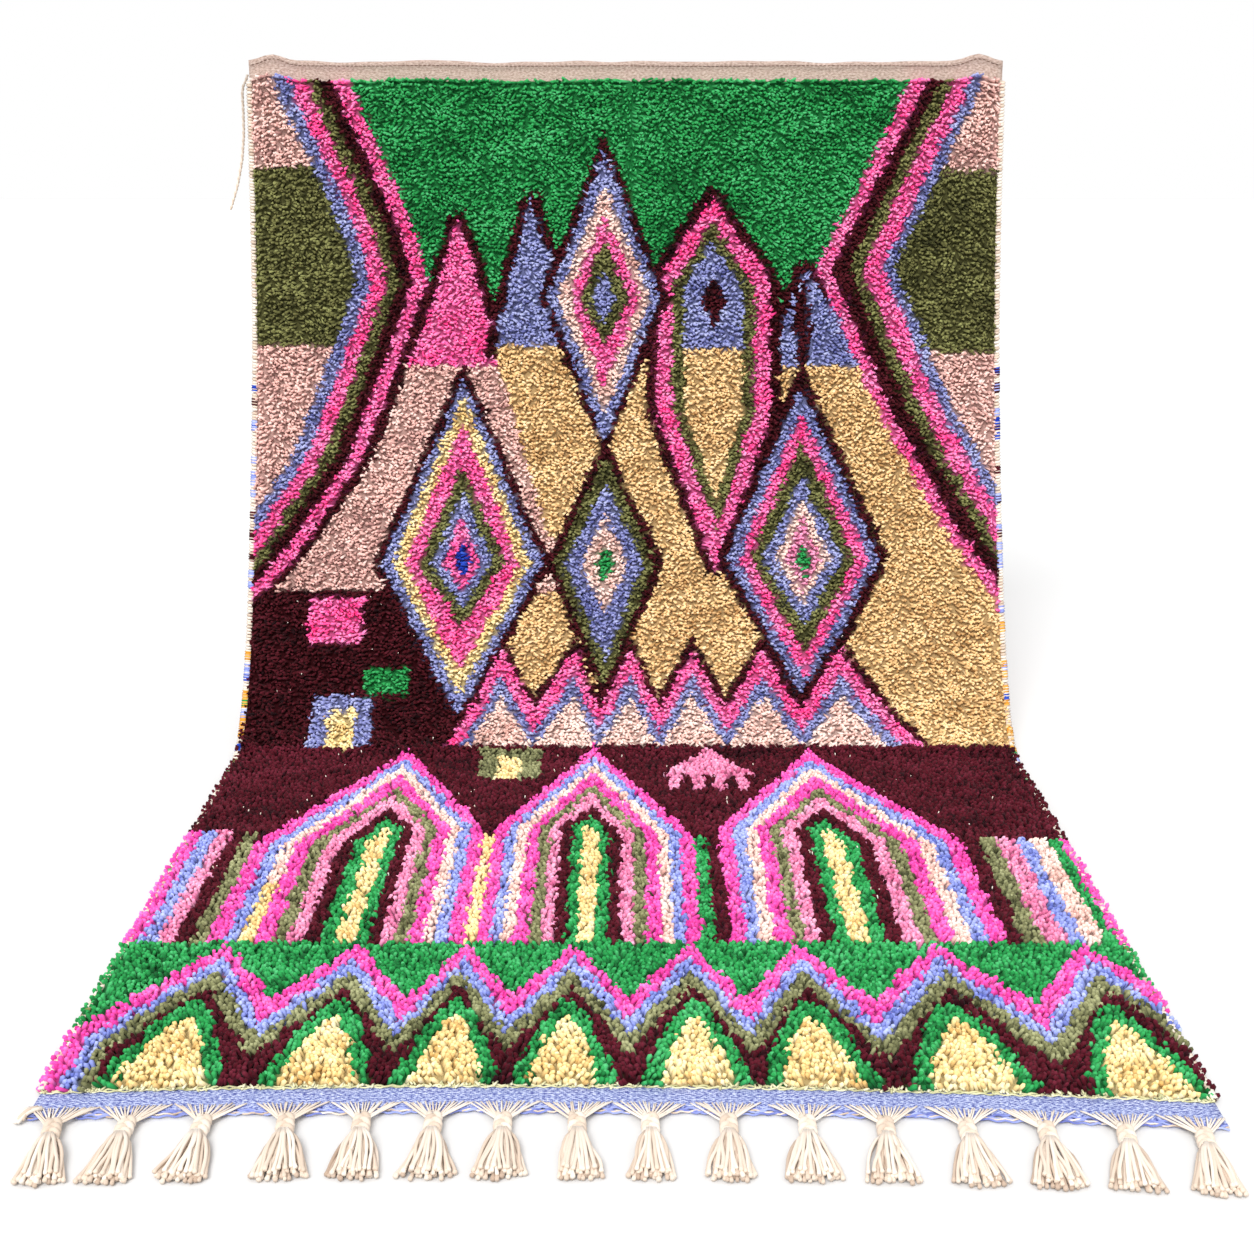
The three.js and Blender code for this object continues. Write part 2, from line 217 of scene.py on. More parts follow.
def sweep(model, paths, radii, across_axis=(0.0, 0.0, 1.0)):
    """Copies of a yarn model, one on each path. paths is (copies, stations, 3), radii (copies, stations)."""
    points, _ = model
    stations = paths.shape[1]
    at = points[:, 2] * (stations - 1)
    low = np.minimum(at.astype(int), stations - 2)
    share = (at - low)[None, :, None]
    tangents = np.gradient(paths, axis=1)
    tangents /= np.linalg.norm(tangents, axis=2, keepdims=True) + 1e-12
    side = np.cross(tangents, np.broadcast_to(across_axis, tangents.shape))
    side /= np.linalg.norm(side, axis=2, keepdims=True) + 1e-12
    other = np.cross(tangents, side)

    def along_path(values):
        return values[:, low] * (1 - share) + values[:, low + 1] * share

    section = points[None, :, 0:1] * along_path(side) + points[None, :, 1:2] * along_path(other)
    return along_path(paths) + section * along_path(radii[:, :, None])


def mesh_piece(name, points, triangles, material, tint, height):
    """A piece from points and triangles. Its map holds each yarn's tint, and the height from root to tip."""
    mesh = bpy.data.meshes.new(name)
    mesh.vertices.add(len(points))
    mesh.vertices.foreach_set("co", points.astype(np.float32).ravel())
    mesh.loops.add(triangles.size)
    mesh.loops.foreach_set("vertex_index", triangles.astype(np.int32).ravel())
    mesh.polygons.add(len(triangles))
    mesh.polygons.foreach_set("loop_start", np.arange(len(triangles), dtype=np.int32) * 3)
    mesh.polygons.foreach_set("use_smooth", np.ones(len(triangles), bool))
    mesh.update(calc_edges=True)
    layer = mesh.uv_layers.new(name="OFBake")
    corners = triangles.ravel()
    layer.uv.foreach_set("vector", np.stack([tint, height], -1)[corners].astype(np.float32).ravel())
    mesh.validate()
    piece = bpy.data.objects.new(name, mesh)
    bpy.context.scene.collection.objects.link(piece)
    mesh.materials.append(material)
    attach(piece, "root")
    return piece


# How far a yarn's section spreads over the map, so that no face has an empty place there
ROUND_ON_MAP = (0.006, 0.012)


def joined_yarns(name, groups, material, heights=(0.03, 0.92)):
    """One mesh of many yarns, from groups of (model, copies, tint of each copy). heights says where a yarn
    starts on the map and how far it reaches there."""
    points, faces, tints, levels, first = [], [], [], [], 0
    for (model_points, triangles), copies, tint in groups:
        count, size = copies.shape[:2]
        angle = np.arctan2(model_points[:, 1], model_points[:, 0])
        offsets = (first + np.arange(count) * size)[:, None, None]
        points.append(copies.reshape(-1, 3))
        faces.append((triangles[None] + offsets).reshape(-1, 3))
        tints.append((0.02 + 0.96 * tint.reshape(count, -1) + ROUND_ON_MAP[0] * np.sin(angle)[None]).ravel())
        level = heights[0] + heights[1] * model_points[:, 2] + ROUND_ON_MAP[1] * np.cos(angle)
        levels.append(np.tile(level, count))
        first += count * size
    points, faces, tints, levels = (np.concatenate(part) for part in (points, faces, tints, levels))
    return mesh_piece(name, points, faces, material, tints, levels)


# Materials

def node(tree, kind, inputs=None, links=None, **settings):
    """Adds a node with its settings, its unlinked values and its links, given as input: (node, output)."""
    made = tree.nodes.new(kind)
    for key, value in settings.items():
        setattr(made, key, value)
    for key, value in (inputs or {}).items():
        made.inputs[key].default_value = value
    for key, (source, output) in (links or {}).items():
        tree.links.new(source.outputs[output], made.inputs[key])
    return made


def new_material(name):
    """A material with its node tree and its one shader."""
    material = bpy.data.materials.new(name)
    material.use_nodes = True
    tree = material.node_tree
    tree.nodes.clear()
    shader = node(tree, "ShaderNodeBsdfPrincipled")
    node(tree, "ShaderNodeOutputMaterial", links={"Surface": (shader, "BSDF")})
    return material, tree, shader


def three_tones(tree, colours, source, output):
    """A colour from shade over full light to the lightest yarn, by a value from 0 to 1."""
    tones = node(tree, "ShaderNodeValToRGB", links={"Fac": (source, output)})
    ramp_stops = tones.color_ramp.elements
    ramp_stops[0].color = (*linear(colours[0]), 1)
    ramp_stops[1].color = (*linear(colours[2]), 1)
    ramp_stops.new(0.5).color = (*linear(colours[1]), 1)
    return tones


def yarn_material(name, colours, root_shade, sheen):
    """Spun yarn: matt, with a soft halo of loose fibres. The map's first value picks the dye's tone, the
    second darkens the root, where the light doesn't reach."""
    material, tree, shader = new_material(name)
    uv = node(tree, "ShaderNodeUVMap", uv_map="OFBake")
    parts = node(tree, "ShaderNodeSeparateXYZ", links={"Vector": (uv, "UV")})
    tones = three_tones(tree, colours, parts, "X")
    shade = node(tree, "ShaderNodeMapRange",
                 {"From Min": 0.05, "From Max": 0.8, "To Min": root_shade, "To Max": 1.0},
                 {"Value": (parts, "Y")})
    mix = node(tree, "ShaderNodeMix", {"Factor": 1.0}, {"A": (tones, "Color"), "B": (shade, "Result")},
               data_type="RGBA", blend_type="MULTIPLY")
    tree.links.new(mix.outputs["Result"], shader.inputs["Base Color"])
    shader.inputs["Roughness"].default_value = 0.85
    shader.inputs["Specular IOR Level"].default_value = 0.12
    shader.inputs["Sheen Weight"].default_value = sheen
    shader.inputs["Sheen Roughness"].default_value = 0.5
    return material


# The pattern, knot by knot

def inside(across, along, outline, grow=0.0):
    """Whether a place is in an outline of a few corners, or within grow of it."""
    if grow:
        around = [(grow * math.cos(a), grow * math.sin(a)) for a in np.arange(8) * math.pi / 4]
        return np.any([inside(across + right, along + down, outline) for right, down in around], 0)
    hit = np.zeros(np.shape(across), bool)
    for (x1, y1), (x2, y2) in zip(outline, outline[1:] + outline[:1]):
        if y1 != y2:
            crossing = x1 + (x2 - x1) * (along - y1) / (y2 - y1)
            hit ^= ((y1 > along) != (y2 > along)) & (across < crossing)
    return hit


# The plain fields behind the figures, and where the dark line between them runs
GREEN_END = 0.520
DARK_LINE = (0.500, 0.525)
OXBLOOD_FIELD = ((-0.76, 1.055), (-0.44, 1.055), (-0.30, 1.32), (-0.34, 1.41), (-0.76, 1.41))

# Side chevrons from the rim inwards: yarn, then its outer edge at the top and at the point. All edges of a
# chevron share the course of its arms: the upper as a share of the way back to the top, the lower in metres
CHEVRON_LEFT = {
    "upper": ((0.040, 1.0), (0.323, 0.19), (0.430, 0.0)),
    "lower": ((0.430, 0.0), (0.790, 0.132), (0.995, 0.268), (1.100, 0.368)),
    "liner": 0.022,
    "bands": (("periwinkle", -0.700, -0.5375), ("hot_pink", -0.668, -0.509), ("olive", -0.634, -0.477),
              ("oxblood", -0.607, -0.452), ("hot_pink", -0.580, -0.425), (None, -0.547, -0.395)),
}
CHEVRON_RIGHT = {
    "upper": ((0.040, 1.0), (0.405, 0.0)),
    "lower": ((0.405, 0.0), (0.710, 0.130), (0.950, 0.262), (1.070, 0.350)),
    "liner": 0.0,
    "bands": (("periwinkle", 0.709, 0.538), ("hot_pink", 0.684, 0.513), ("olive", 0.646, 0.472),
              ("oxblood", 0.621, 0.446), ("hot_pink", 0.597, 0.412), (None, 0.561, 0.382)),
}
CHEVRONS_END = 1.1
# Where the olive part of the fields beside the chevrons starts and ends
SIDE_FIELDS = {-1: (0.205, 0.56), 1: (0.211, 0.574)}

# Lozenges: centre across, widest place along, then from the outside in yarn, half-width, upper and lower tip
LOZENGES = (
    (-0.043, 0.461, (("oxblood", 0.130, 0.140, 0.785), ("periwinkle", 0.112, 0.175, 0.757),
                     ("peach", 0.094, 0.240, 0.703), ("hot_pink", 0.072, 0.300, 0.643),
                     ("olive", 0.048, 0.343, 0.568), ("periwinkle", 0.025, 0.410, 0.512))),
    (-0.042, 1.000, (("oxblood", 0.118, 0.745, 1.285), ("olive", 0.100, 0.780, 1.252),
                     ("periwinkle", 0.076, 0.836, 1.203), ("peach", 0.047, 0.900, 1.105),
                     ("green", 0.019, 0.962, 1.038))),
    (-0.326, 1.000, (("oxblood", 0.178, 0.590, 1.350), ("periwinkle", 0.160, 0.624, 1.318),
                     ("cream", 0.138, 0.655, 1.270), ("hot_pink", 0.114, 0.711, 1.218),
                     ("olive", 0.087, 0.800, 1.130), ("periwinkle", 0.062, 0.849, 1.092),
                     ("hot_pink", 0.036, 0.900, 1.060), ("navy", 0.015, 0.945, 1.030))),
    (0.352, 0.990, (("oxblood", 0.172, 0.590, 1.330), ("periwinkle", 0.152, 0.640, 1.285),
                    ("hot_pink", 0.130, 0.692, 1.237), ("olive", 0.105, 0.749, 1.182),
                    ("periwinkle", 0.080, 0.825, 1.126), ("peach", 0.056, 0.868, 1.088),
                    ("rose", 0.037, 0.905, 1.062), ("green", 0.016, 0.960, 1.038))),
)

# A row of tall plain tents and spires behind the lozenges: yarn over and under the change, the change, how
# far down its dark outline runs, and its corners
TENTS = (
    ("hot_pink", "pale_pink", 0.600, 1.060,
     ((-0.335, 0.300), (-0.145, 0.935), (-0.120, 1.060), (-0.700, 1.060), (-0.385, 0.470))),
    ("periwinkle", "tan", 0.560, 0.580,
     ((-0.190, 0.262), (-0.100, 0.560), (-0.098, 0.990), (-0.160, 0.935), (-0.262, 0.560))),
    ("periwinkle", "tan", 0.600, 0.640,
     ((0.358, 0.405), (0.480, 0.575), (0.790, 1.180), (0.790, 1.450), (0.200, 1.450), (0.285, 0.600))),
    ("hot_pink", "hot_pink", 0.6, 1.030,
     ((0.172, 0.262), (0.290, 0.430), (0.290, 0.700), (0.180, 1.020), (0.062, 0.700), (0.062, 0.430))),
    ("olive", "olive", 0.6, 0.0,
     ((0.172, 0.312), (0.258, 0.440), (0.258, 0.690), (0.180, 0.930), (0.094, 0.690), (0.094, 0.440))),
    ("periwinkle", "tan", 0.565, 0.0,
     ((0.172, 0.350), (0.236, 0.448), (0.236, 0.684), (0.180, 0.872), (0.116, 0.684), (0.116, 0.448))),
    ("oxblood", "oxblood", 0.6, 0.0, ((0.176, 0.415), (0.203, 0.470), (0.176, 0.525), (0.149, 0.470))),
    ("oxblood", "oxblood", 0.6, 0.0,
     ((0.358, 0.420), (0.372, 0.470), (0.366, 0.600), (0.344, 0.600), (0.338, 0.470))),
)
TENT_OUTLINE = 0.020

# The row of small triangles: corners of its upper edge, and how far under it each yarn starts
TRIANGLE_EDGE = (
    (-0.372, 1.442), (-0.244, 1.174), (-0.179, 1.300), (-0.100, 1.174), (-0.054, 1.300), (0.009, 1.174),
    (0.065, 1.300), (0.130, 1.174), (0.196, 1.300), (0.269, 1.174), (0.340, 1.300), (0.421, 1.174),
    (0.606, 1.442),
)
TRIANGLE_LAYERS = (("oxblood", -0.027), ("hot_pink", 0.0), ("periwinkle", 0.052), ("peach", 0.093))
TRIANGLE_BASE = 1.392

# Small figures as flat rectangles: yarn, left, right, top, bottom
SMALL_FIGURES = (
    ("hot_pink", -0.629, -0.519, 1.070, 1.163), ("green", -0.5125, -0.425, 1.215, 1.268),
    ("periwinkle", -0.6125, -0.494, 1.271, 1.396), ("cream", -0.581, -0.526, 1.301, 1.400),
    ("moss", -0.276, -0.160, 1.402, 1.536), ("cream", -0.240, -0.198, 1.432, 1.538),
)
COMB = {"yarn": "rose", "left": 0.071, "right": 0.236, "top": 1.405, "round": 0.03, "back": 1.524,
        "end": 1.589, "teeth": 4, "tooth_half": 0.27}

# Pointed arches: centre, point, half-widths to the left and right, and fall of the shoulders. Then each yarn
# from the outside in: its share of the half-width, and how far its point is under the arch's
ARCHES = (
    (-0.4175, 1.399, 0.2075, 0.175, 2.10),
    (-0.060, 1.386, 0.1625, 0.175, 2.33),
    (0.349, 1.4025, 0.190, 0.220, 1.94),
)
ARCH_LAYERS = (
    ("magenta", 1.0, 0.0), ("sky", 0.87, 0.042), ("peach", 0.765, 0.077), ("magenta", 0.655, 0.120),
    ("moss", 0.53, 0.184), ("rose", 0.42, 0.219), ("maroon", 0.30, 0.279), ("green", 0.185, 0.328),
    ("cream", 0.082, 0.370),
)
FLATTEST_SHOULDER = 0.2
ARCH_END = 2.191
# Where the left arch's peach stripe goes on in cream: left, right, start
CREAM_RUN = (-0.577, -0.552, 1.985)

# Straight stripes beside the arches: yarn and right edge, then the first one's left edge and where they start
STRIPES = (
    ((("magenta", -0.722), ("sky", -0.698), ("rose", -0.673), ("maroon", -0.6475), ("moss", -0.625)),
     -0.80, 1.780),
    ((("cream", -0.2225),), -0.2425, 1.800),
    ((("green", 0.135), ("maroon", 0.159)), 0.115, 1.800),
    ((("maroon", 0.596), ("moss", 0.625), ("rose", 0.659), ("sky", 0.684), ("peach", 0.715), ("green", 0.734),
      ("magenta", 0.76)), 0.569, 1.810),
)

# The lower border: peaks and valleys of its zigzag, how far under its edge each yarn starts at either
BORDER_PEAK = 2.195
BORDER_DEPTH = 0.16
BORDER_EDGE = (
    (-0.765, 2.480), (-0.735, 2.420), (-0.671, 2.320), (-0.5875, 2.195), (-0.494, 2.360), (-0.394, 2.195),
    (-0.3075, 2.360), (-0.235, 2.195), (-0.160, 2.352), (-0.075, 2.195), (0.005, 2.355), (0.094, 2.195),
    (0.169, 2.355), (0.255, 2.195), (0.3425, 2.360), (0.459, 2.195), (0.5675, 2.365), (0.6775, 2.195),
    (0.765, 2.345),
)
BORDER_LAYERS = (
    ("magenta", 0.0, 0.0), ("sky", 0.040, 0.062), ("moss", 0.084, 0.103), ("maroon", 0.127, 0.152),
)
# At its left end the border's yarns run straight down to the foot: yarn, right edge, start
BORDER_RUNS = (("moss", -0.680, 2.480), ("sky", -0.697, 2.450), ("magenta", -0.718, 2.440))
# The small arches in the border: centre and half-width at the foot, then their tops, rim and roundness
BORDER_ARCHES = (
    (-0.5975, 0.060), (-0.3975, 0.050), (-0.232, 0.046), (-0.079, 0.045), (0.094, 0.047), (0.2525, 0.053),
    (0.449, 0.060), (0.668, 0.054),
)
ARCH_TOPS = {"green": 2.362, "cream": 2.408}
ARCH_RIM = 0.022
ARCH_ROUNDNESS = 0.62


def pick_wool(across, along):
    """The wool of the knot at each place, as a number in WOOL_NAMES."""
    wool = np.full(np.shape(across), WOOL_NAMES.index("tan"))

    def lay(name, where):
        wool[where] = WOOL_NAMES.index(name)

    lay("green", along < GREEN_END)
    lay("oxblood", (along > DARK_LINE[0]) & (along < DARK_LINE[1]))
    for over, under, change, lined_to, outline in TENTS:
        lay("oxblood", inside(across, along, outline, TENT_OUTLINE) & (along < lined_to))
        inner = inside(across, along, outline)
        lay(over, inner & (along < change))
        lay(under, inner & (along >= change))
    lay("oxblood", inside(across, along, OXBLOOD_FIELD))

    beside = along < CHEVRONS_END
    for side, chevron in ((-1, CHEVRON_LEFT), (1, CHEVRON_RIGHT)):
        bands = chevron["bands"]
        rise = np.interp(along, *zip(*chevron["upper"]))
        drift = side * np.interp(along, *zip(*chevron["lower"]))
        edges = [middle + (top - middle) * rise + drift for _, top, middle in bands]
        reach = side * across
        lay("oxblood", (reach > side * edges[-1] - chevron["liner"]) & (drift != 0) & beside)
        for (name, *_), edge in zip(reversed(bands[:-1]), reversed(edges[1:])):
            lay(name, (reach > side * edge) & beside)
        field = (reach > side * edges[0]) & beside
        first, second = SIDE_FIELDS[side]
        lay("pale_pink", field)
        lay("olive", field & (along > first) & (along < second))

    for centre, middle, layers in LOZENGES:
        for name, half, top, bottom in layers:
            height = np.minimum((along - top) / (middle - top), (bottom - along) / (bottom - middle))
            lay(name, np.abs(across - centre) < half * height)

    edge = np.interp(across, *zip(*TRIANGLE_EDGE))
    row = (across > TRIANGLE_EDGE[0][0]) & (across < TRIANGLE_EDGE[-1][0]) & (along < TRIANGLE_BASE)
    for name, under in TRIANGLE_LAYERS:
        lay(name, row & (along > edge + under))

    lay("maroon", along > TRIANGLE_BASE)
    for name, left, right, top, bottom in SMALL_FIGURES:
        lay(name, (across > left) & (across < right) & (along > top) & (along < bottom))
    comb_middle = (COMB["left"] + COMB["right"]) / 2
    comb_half = (COMB["right"] - COMB["left"]) / 2
    over = np.abs(across - comb_middle)
    rounded = ramp(COMB["top"] - COMB["round"], COMB["back"], along)
    back = (over < comb_half * rounded) & (along < COMB["back"])
    phase = (across - COMB["left"]) / (2 * comb_half) * COMB["teeth"]
    teeth = (over < comb_half) & (np.abs(phase - np.floor(phase) - 0.5) < COMB["tooth_half"])
    teeth = teeth & (along >= COMB["back"]) & (along < COMB["end"])
    lay(COMB["yarn"], (along > COMB["top"]) & (back | teeth))

    for stripes, left, start in STRIPES:
        for name, right in reversed(stripes):
            lay(name, (across > left) & (across < right) & (along > start))
    for centre, tip, left, right, fall in ARCHES:
        off = across - centre
        for name, share, drop in ARCH_LAYERS:
            full = np.where(off < 0, left, right)
            to_shoulder = np.maximum(fall * full - drop, FLATTEST_SHOULDER * share * full)
            reach = np.abs(off) / (share * full)
            lay(name, (reach < 1) & (along > tip + drop + to_shoulder * reach))
    left, right, start = CREAM_RUN
    lay("cream", (across > left) & (across < right) & (along > start))

    lay("green", along > ARCH_END)
    edge = np.interp(across, *zip(*BORDER_EDGE))
    valley = np.clip((edge - BORDER_PEAK) / BORDER_DEPTH, 0, 1)
    for name, at_peak, at_valley in BORDER_LAYERS:
        lay(name, (along > ARCH_END) & (along > edge + at_peak * (1 - valley) + at_valley * valley))
    for name, right, start in BORDER_RUNS:
        lay(name, (across < right) & (along > start))
    for name, rim in (("green", ARCH_RIM), ("cream", 0.0)):
        for centre, half in BORDER_ARCHES:
            height = np.clip((along - ARCH_TOPS[name]) / (BAND_START - ARCH_TOPS[name]), 0, 1)
            lay(name, (np.abs(across - centre) < (half + rim) * height ** ARCH_ROUNDNESS) & (height > 0))
    return wool


# The pile: rows of knots, each with one yarn end that shows

BED = 0.011
PILE_HEIGHT = 0.0212
KNOTS_START = 0.0385
KNOTS_END = 2.5640
# Finer yarn ends on the hanging part than on the floor. A yarn leans across and down, more or less in clumps
# and by itself. Pitch is across and along
HANGING_PILE = {"start": KNOTS_START, "end": FLOOR_START, "pitch": (0.0050, 0.0084), "radius": 0.0028,
                "across": 1.0, "down": 0.34, "clump": 0.16, "stray": 0.30}
FLOOR_PILE = {"start": FLOOR_START, "end": KNOTS_END + 0.0090, "pitch": (0.0055, 0.0090), "radius": 0.0034,
              "across": 0.7, "down": 0.10, "clump": 0.22, "stray": 0.26}
# Where the pile ends at the sides: place along, half-width. It leaves the wound edge bare where the rug hangs
PILE_EDGE = ((1.20, 0.7378), (1.50, 0.7465))
PARTING = {"across": 0.010, "half_width": 0.034, "end": 0.330, "fade": 0.08, "lean": 0.7}
# The last yarns at the sides: how far in from the edge, how far out they lean where the rug hangs, and how
# much more on the floor. The first and the last rows stand otherwise too
RIM = {"width": 0.016, "lean": 0.20, "more": 0.30, "lower": 0.004}
FIRST_ROWS = 0.014
LAST_ROWS = {"length": 0.016, "lean": 0.35, "lower": 0.003}
# Sizes of the clumps in which yarns lean across and down, and of the places where the pile is higher or lower
CLUMPS = {"across": 0.035, "down": 0.030, "up": 0.05}
# How far a yarn leans to its side: the usual and the spread
SIDE_LEAN = (0.62, 0.20)
ROW_WAVE = 0.0018
# A thick root's own radius, so that none sinks into the floor
LOWEST_ROOT = 0.0036
# How far a yarn may stray over the line between two colours, across and along
STRAY = {"across": (0.0022, 0.022, 0.0007), "along": (0.0028, 0.026, 0.0010)}


def knot_places(stretch, rng):
    """Places across and along of all knots in that stretch, in uneven rows."""
    pitch = stretch["pitch"]
    rows = np.arange(stretch["start"], stretch["end"], pitch[1])
    columns = np.arange(-PILE_EDGE[-1][1], PILE_EDGE[-1][1], pitch[0])
    across, along = np.meshgrid(columns, rows)
    across = across + (np.arange(len(rows)) % 2)[:, None] * pitch[0] / 2
    across = across + rng.uniform(-0.0014, 0.0014, across.shape)
    row_waves = ROW_WAVE * smooth_noise(across, along, 0.10, 1)
    along = along + rng.uniform(-0.0016, 0.0016, across.shape) + row_waves
    keep = (np.abs(across) < np.interp(along, *zip(*PILE_EDGE))) & (along < KNOTS_END)
    return across[keep], along[keep]


def pile_paths(across, along, stretch, rng):
    """The path of each yarn end from its knot to its tip, and the place on the cloth that its tip covers."""
    count = len(across)
    jitter = rng.normal(0, 1, (4, count))
    clump_across = smooth_noise(across, along, CLUMPS["across"], 2)
    clump_along = smooth_noise(across, along, CLUMPS["down"], 3)
    swell = 0.6 * smooth_noise(across, along, CLUMPS["up"], 4)
    head = 1 - ramp(KNOTS_START, KNOTS_START + FIRST_ROWS, along)
    foot = ramp(KNOTS_END - LAST_ROWS["length"], KNOTS_END, along)
    height = PILE_HEIGHT + 0.0012 * swell + 0.0013 * jitter[0] - LAST_ROWS["lower"] * foot
    to_right = rng.uniform(-1, 1, count) + 0.9 * clump_across > 0
    side_lean = SIDE_LEAN[0] + SIDE_LEAN[1] * jitter[1]
    lean_across = stretch["across"] * np.where(to_right, 1.0, -1.0) * side_lean
    lean_along = stretch["down"] + stretch["clump"] * clump_along + stretch["stray"] * jitter[2]
    lean_along = lean_along + LAST_ROWS["lean"] * foot
    lean_along = lean_along * (1 - head) + head * (0.08 * jitter[2] - 0.1)
    off = (across - PARTING["across"]) / PARTING["half_width"]
    parted = np.exp(-off * off) * (1 - ramp(PARTING["end"] - PARTING["fade"], PARTING["end"], along))
    lean_across = lean_across + PARTING["lean"] * parted * np.sign(off)
    height = height - 0.003 * parted
    edge = np.interp(along, *zip(*PILE_EDGE))
    rim = ramp(edge - RIM["width"], edge, np.abs(across))
    outward = RIM["lean"] + RIM["more"] * ramp(PILE_EDGE[0][0], PILE_EDGE[1][0], along)
    lean_across = lean_across * (1 - 0.85 * rim) + outward * rim * np.sign(across)
    height = height - RIM["lower"] * rim
    root = np.maximum(BED - 0.002 - 0.006 * np.maximum(head, foot) - RIM["lower"] * rim, LOWEST_ROOT)
    tip_across = across + lean_across * (height - root)
    tip_along = along + lean_along * (height - root)
    ends = ((across, tip_across), (along, tip_along), (root, height))
    paths = place(*(np.stack(pair, 1) for pair in ends))
    return paths, tip_across, tip_along


def make_pile():
    """One piece for each wool, of all its knots, with finer ends on the hanging part than on the floor."""
    rng = np.random.default_rng(SEED)
    hanging = yarn_model("hanging yarn end", 3, (0.0, 1.0), capped_root=False)
    standing = yarn_model("standing yarn end", 4, (0.0, 0.8, 1.0), capped_root=False, rounded=True)
    parts = {name: [] for name in WOOL_NAMES}
    for stretch, model in ((HANGING_PILE, hanging), (FLOOR_PILE, standing)):
        across, along = knot_places(stretch, rng)
        paths, tip_across, tip_along = pile_paths(across, along, stretch, rng)
        strayed = []
        for seed, (wave, size, loose) in enumerate(STRAY.values(), 5):
            strayed.append(wave * smooth_noise(across, along, size, seed) + rng.normal(0, loose, len(across)))
        wool = pick_wool(tip_across + strayed[0], tip_along + strayed[1])
        radii = stretch["radius"] * (1 + 0.07 * rng.normal(0, 1, len(across)))[:, None]
        radii = radii * np.array([[0.88, 1.08]])
        turned = rng.uniform(0, FULL_TURN, len(across))
        axis = np.stack([np.cos(turned), np.sin(turned) * 0.4, np.sin(turned)], -1)[:, None]
        copies = sweep(model, paths, radii, axis)
        dye = 0.16 * smooth_noise(across * 0.3, along, 0.03, 7) + 0.10 * smooth_noise(across, along, 0.2, 8)
        tints = np.clip(0.5 + dye + 0.22 * rng.normal(0, 1, len(across)), 0, 1)
        for number, name in enumerate(WOOL_NAMES):
            mine = wool == number
            if mine.any():
                parts[name].append((model, copies[mine], tints[mine]))
    pieces = []
    for name, groups in parts.items():
        material = yarn_material(f"hand-spun {name.replace('_', ' ')} wool", WOOL[name], 0.42, 0.03)
        piece = joined_yarns(f"pile_{name}", groups, material)
        pieces.append(piece)
    return pieces


# The cloth under the pile

GROUND_COLUMNS = 92
GROUND_ROW = 0.016
# How thick the cloth is: place along, height of its face over its back. The hem is turned, so it is thicker
CLOTH_LAYERS = ((0.0, 0.0058), (0.0115, 0.0052), (0.0125, 0.004), (0.0375, 0.004), (0.050, BED), (2.550, BED),
                (2.563, 0.004), (CLOTH_LENGTH, 0.004))
FINE_ROWS = (0.0, 0.004, 0.0115, 0.0125, 0.022, 0.030, 0.0375, 0.050)
FOOT_ROWS = (2.550, 2.563, 2.571, 2.581, 2.591, 2.601, CLOTH_LENGTH)

# Real sizes of the weave in metres, across and along. A float of the weft passes over two warps, so it is
# longer than a pick. The slubs are the yarn's uneven places, 190 and 360 to a metre
FLOAT_IN_PICKS = 2.2
SLUB = (1 / 190, 1 / 360)
KNOT_CELL = (0.0052, 0.0092)


def grey(value):
    """A linear grey as a node takes it."""
    return value, value, value, 1


def on_the_weave(tree, size):
    """Places on the flat cloth, scaled so that a spot of that size in metres is 1 by 1."""
    uv = node(tree, "ShaderNodeUVMap", uv_map="weave")
    return node(tree, "ShaderNodeMapping", {"Scale": (1 / size[0], 1 / size[1], 1.0)}, {"Vector": (uv, "UV")})


def weave_cells(tree, size, gap, gap_blur, yarns, between):
    """Cells of the weave in rows, each set half a cell on, of two greys and with a darker gap between."""
    scaled = on_the_weave(tree, size)
    values = {"Scale": 1.0, "Brick Width": 1.0, "Row Height": 1.0, "Mortar Size": gap,
              "Mortar Smooth": gap_blur, "Color1": grey(yarns[0]), "Color2": grey(yarns[1]),
              "Mortar": grey(between)}
    return node(tree, "ShaderNodeTexBrick", values, {"Vector": (scaled, "Vector")})


def raise_cells(tree, shader, cells, depth):
    """Lets the cells stand out of the cloth, by a depth in metres."""
    bump = node(tree, "ShaderNodeBump", {"Strength": 0.6, "Distance": depth}, {"Height": (cells, "Color")})
    tree.links.new(bump.outputs["Normal"], shader.inputs["Normal"])


def woven_material(name, colours, pick, slub):
    """Flat weave: weft ridges over the warp, pick apart in metres, with lighter and darker slubs on the
    weft."""
    material, tree, shader = new_material(name)
    cells = weave_cells(tree, (FLOAT_IN_PICKS * pick, pick), 0.16, 0.9, (0.75, 1.0), 0.1)
    long_spots = on_the_weave(tree, SLUB)
    slubs = node(tree, "ShaderNodeTexNoise", {"Scale": 1.0, "Detail": 3.0, "Roughness": 0.6},
                 {"Vector": (long_spots, "Vector")})
    tone = node(tree, "ShaderNodeMapRange",
                {"From Min": 0.28, "From Max": 0.72, "To Min": 0.5 - slub, "To Max": 0.5 + slub},
                {"Value": (slubs, "Fac")})
    dent = node(tree, "ShaderNodeMath", {1: 0.28}, {0: (cells, "Color")}, operation="MULTIPLY")
    tone_dent = node(tree, "ShaderNodeMath", {}, {0: (tone, "Result"), 1: (dent, "Value")}, operation="ADD")
    tone_low = node(tree, "ShaderNodeMath", {1: 0.18}, {0: (tone_dent, "Value")}, operation="SUBTRACT")
    tones = three_tones(tree, colours, tone_low, "Value")
    tree.links.new(tones.outputs["Color"], shader.inputs["Base Color"])
    raise_cells(tree, shader, cells, 0.0012)
    shader.inputs["Roughness"].default_value = 0.92
    shader.inputs["Specular IOR Level"].default_value = 0.2
    shader.inputs["Sheen Weight"].default_value = 0.1
    return material


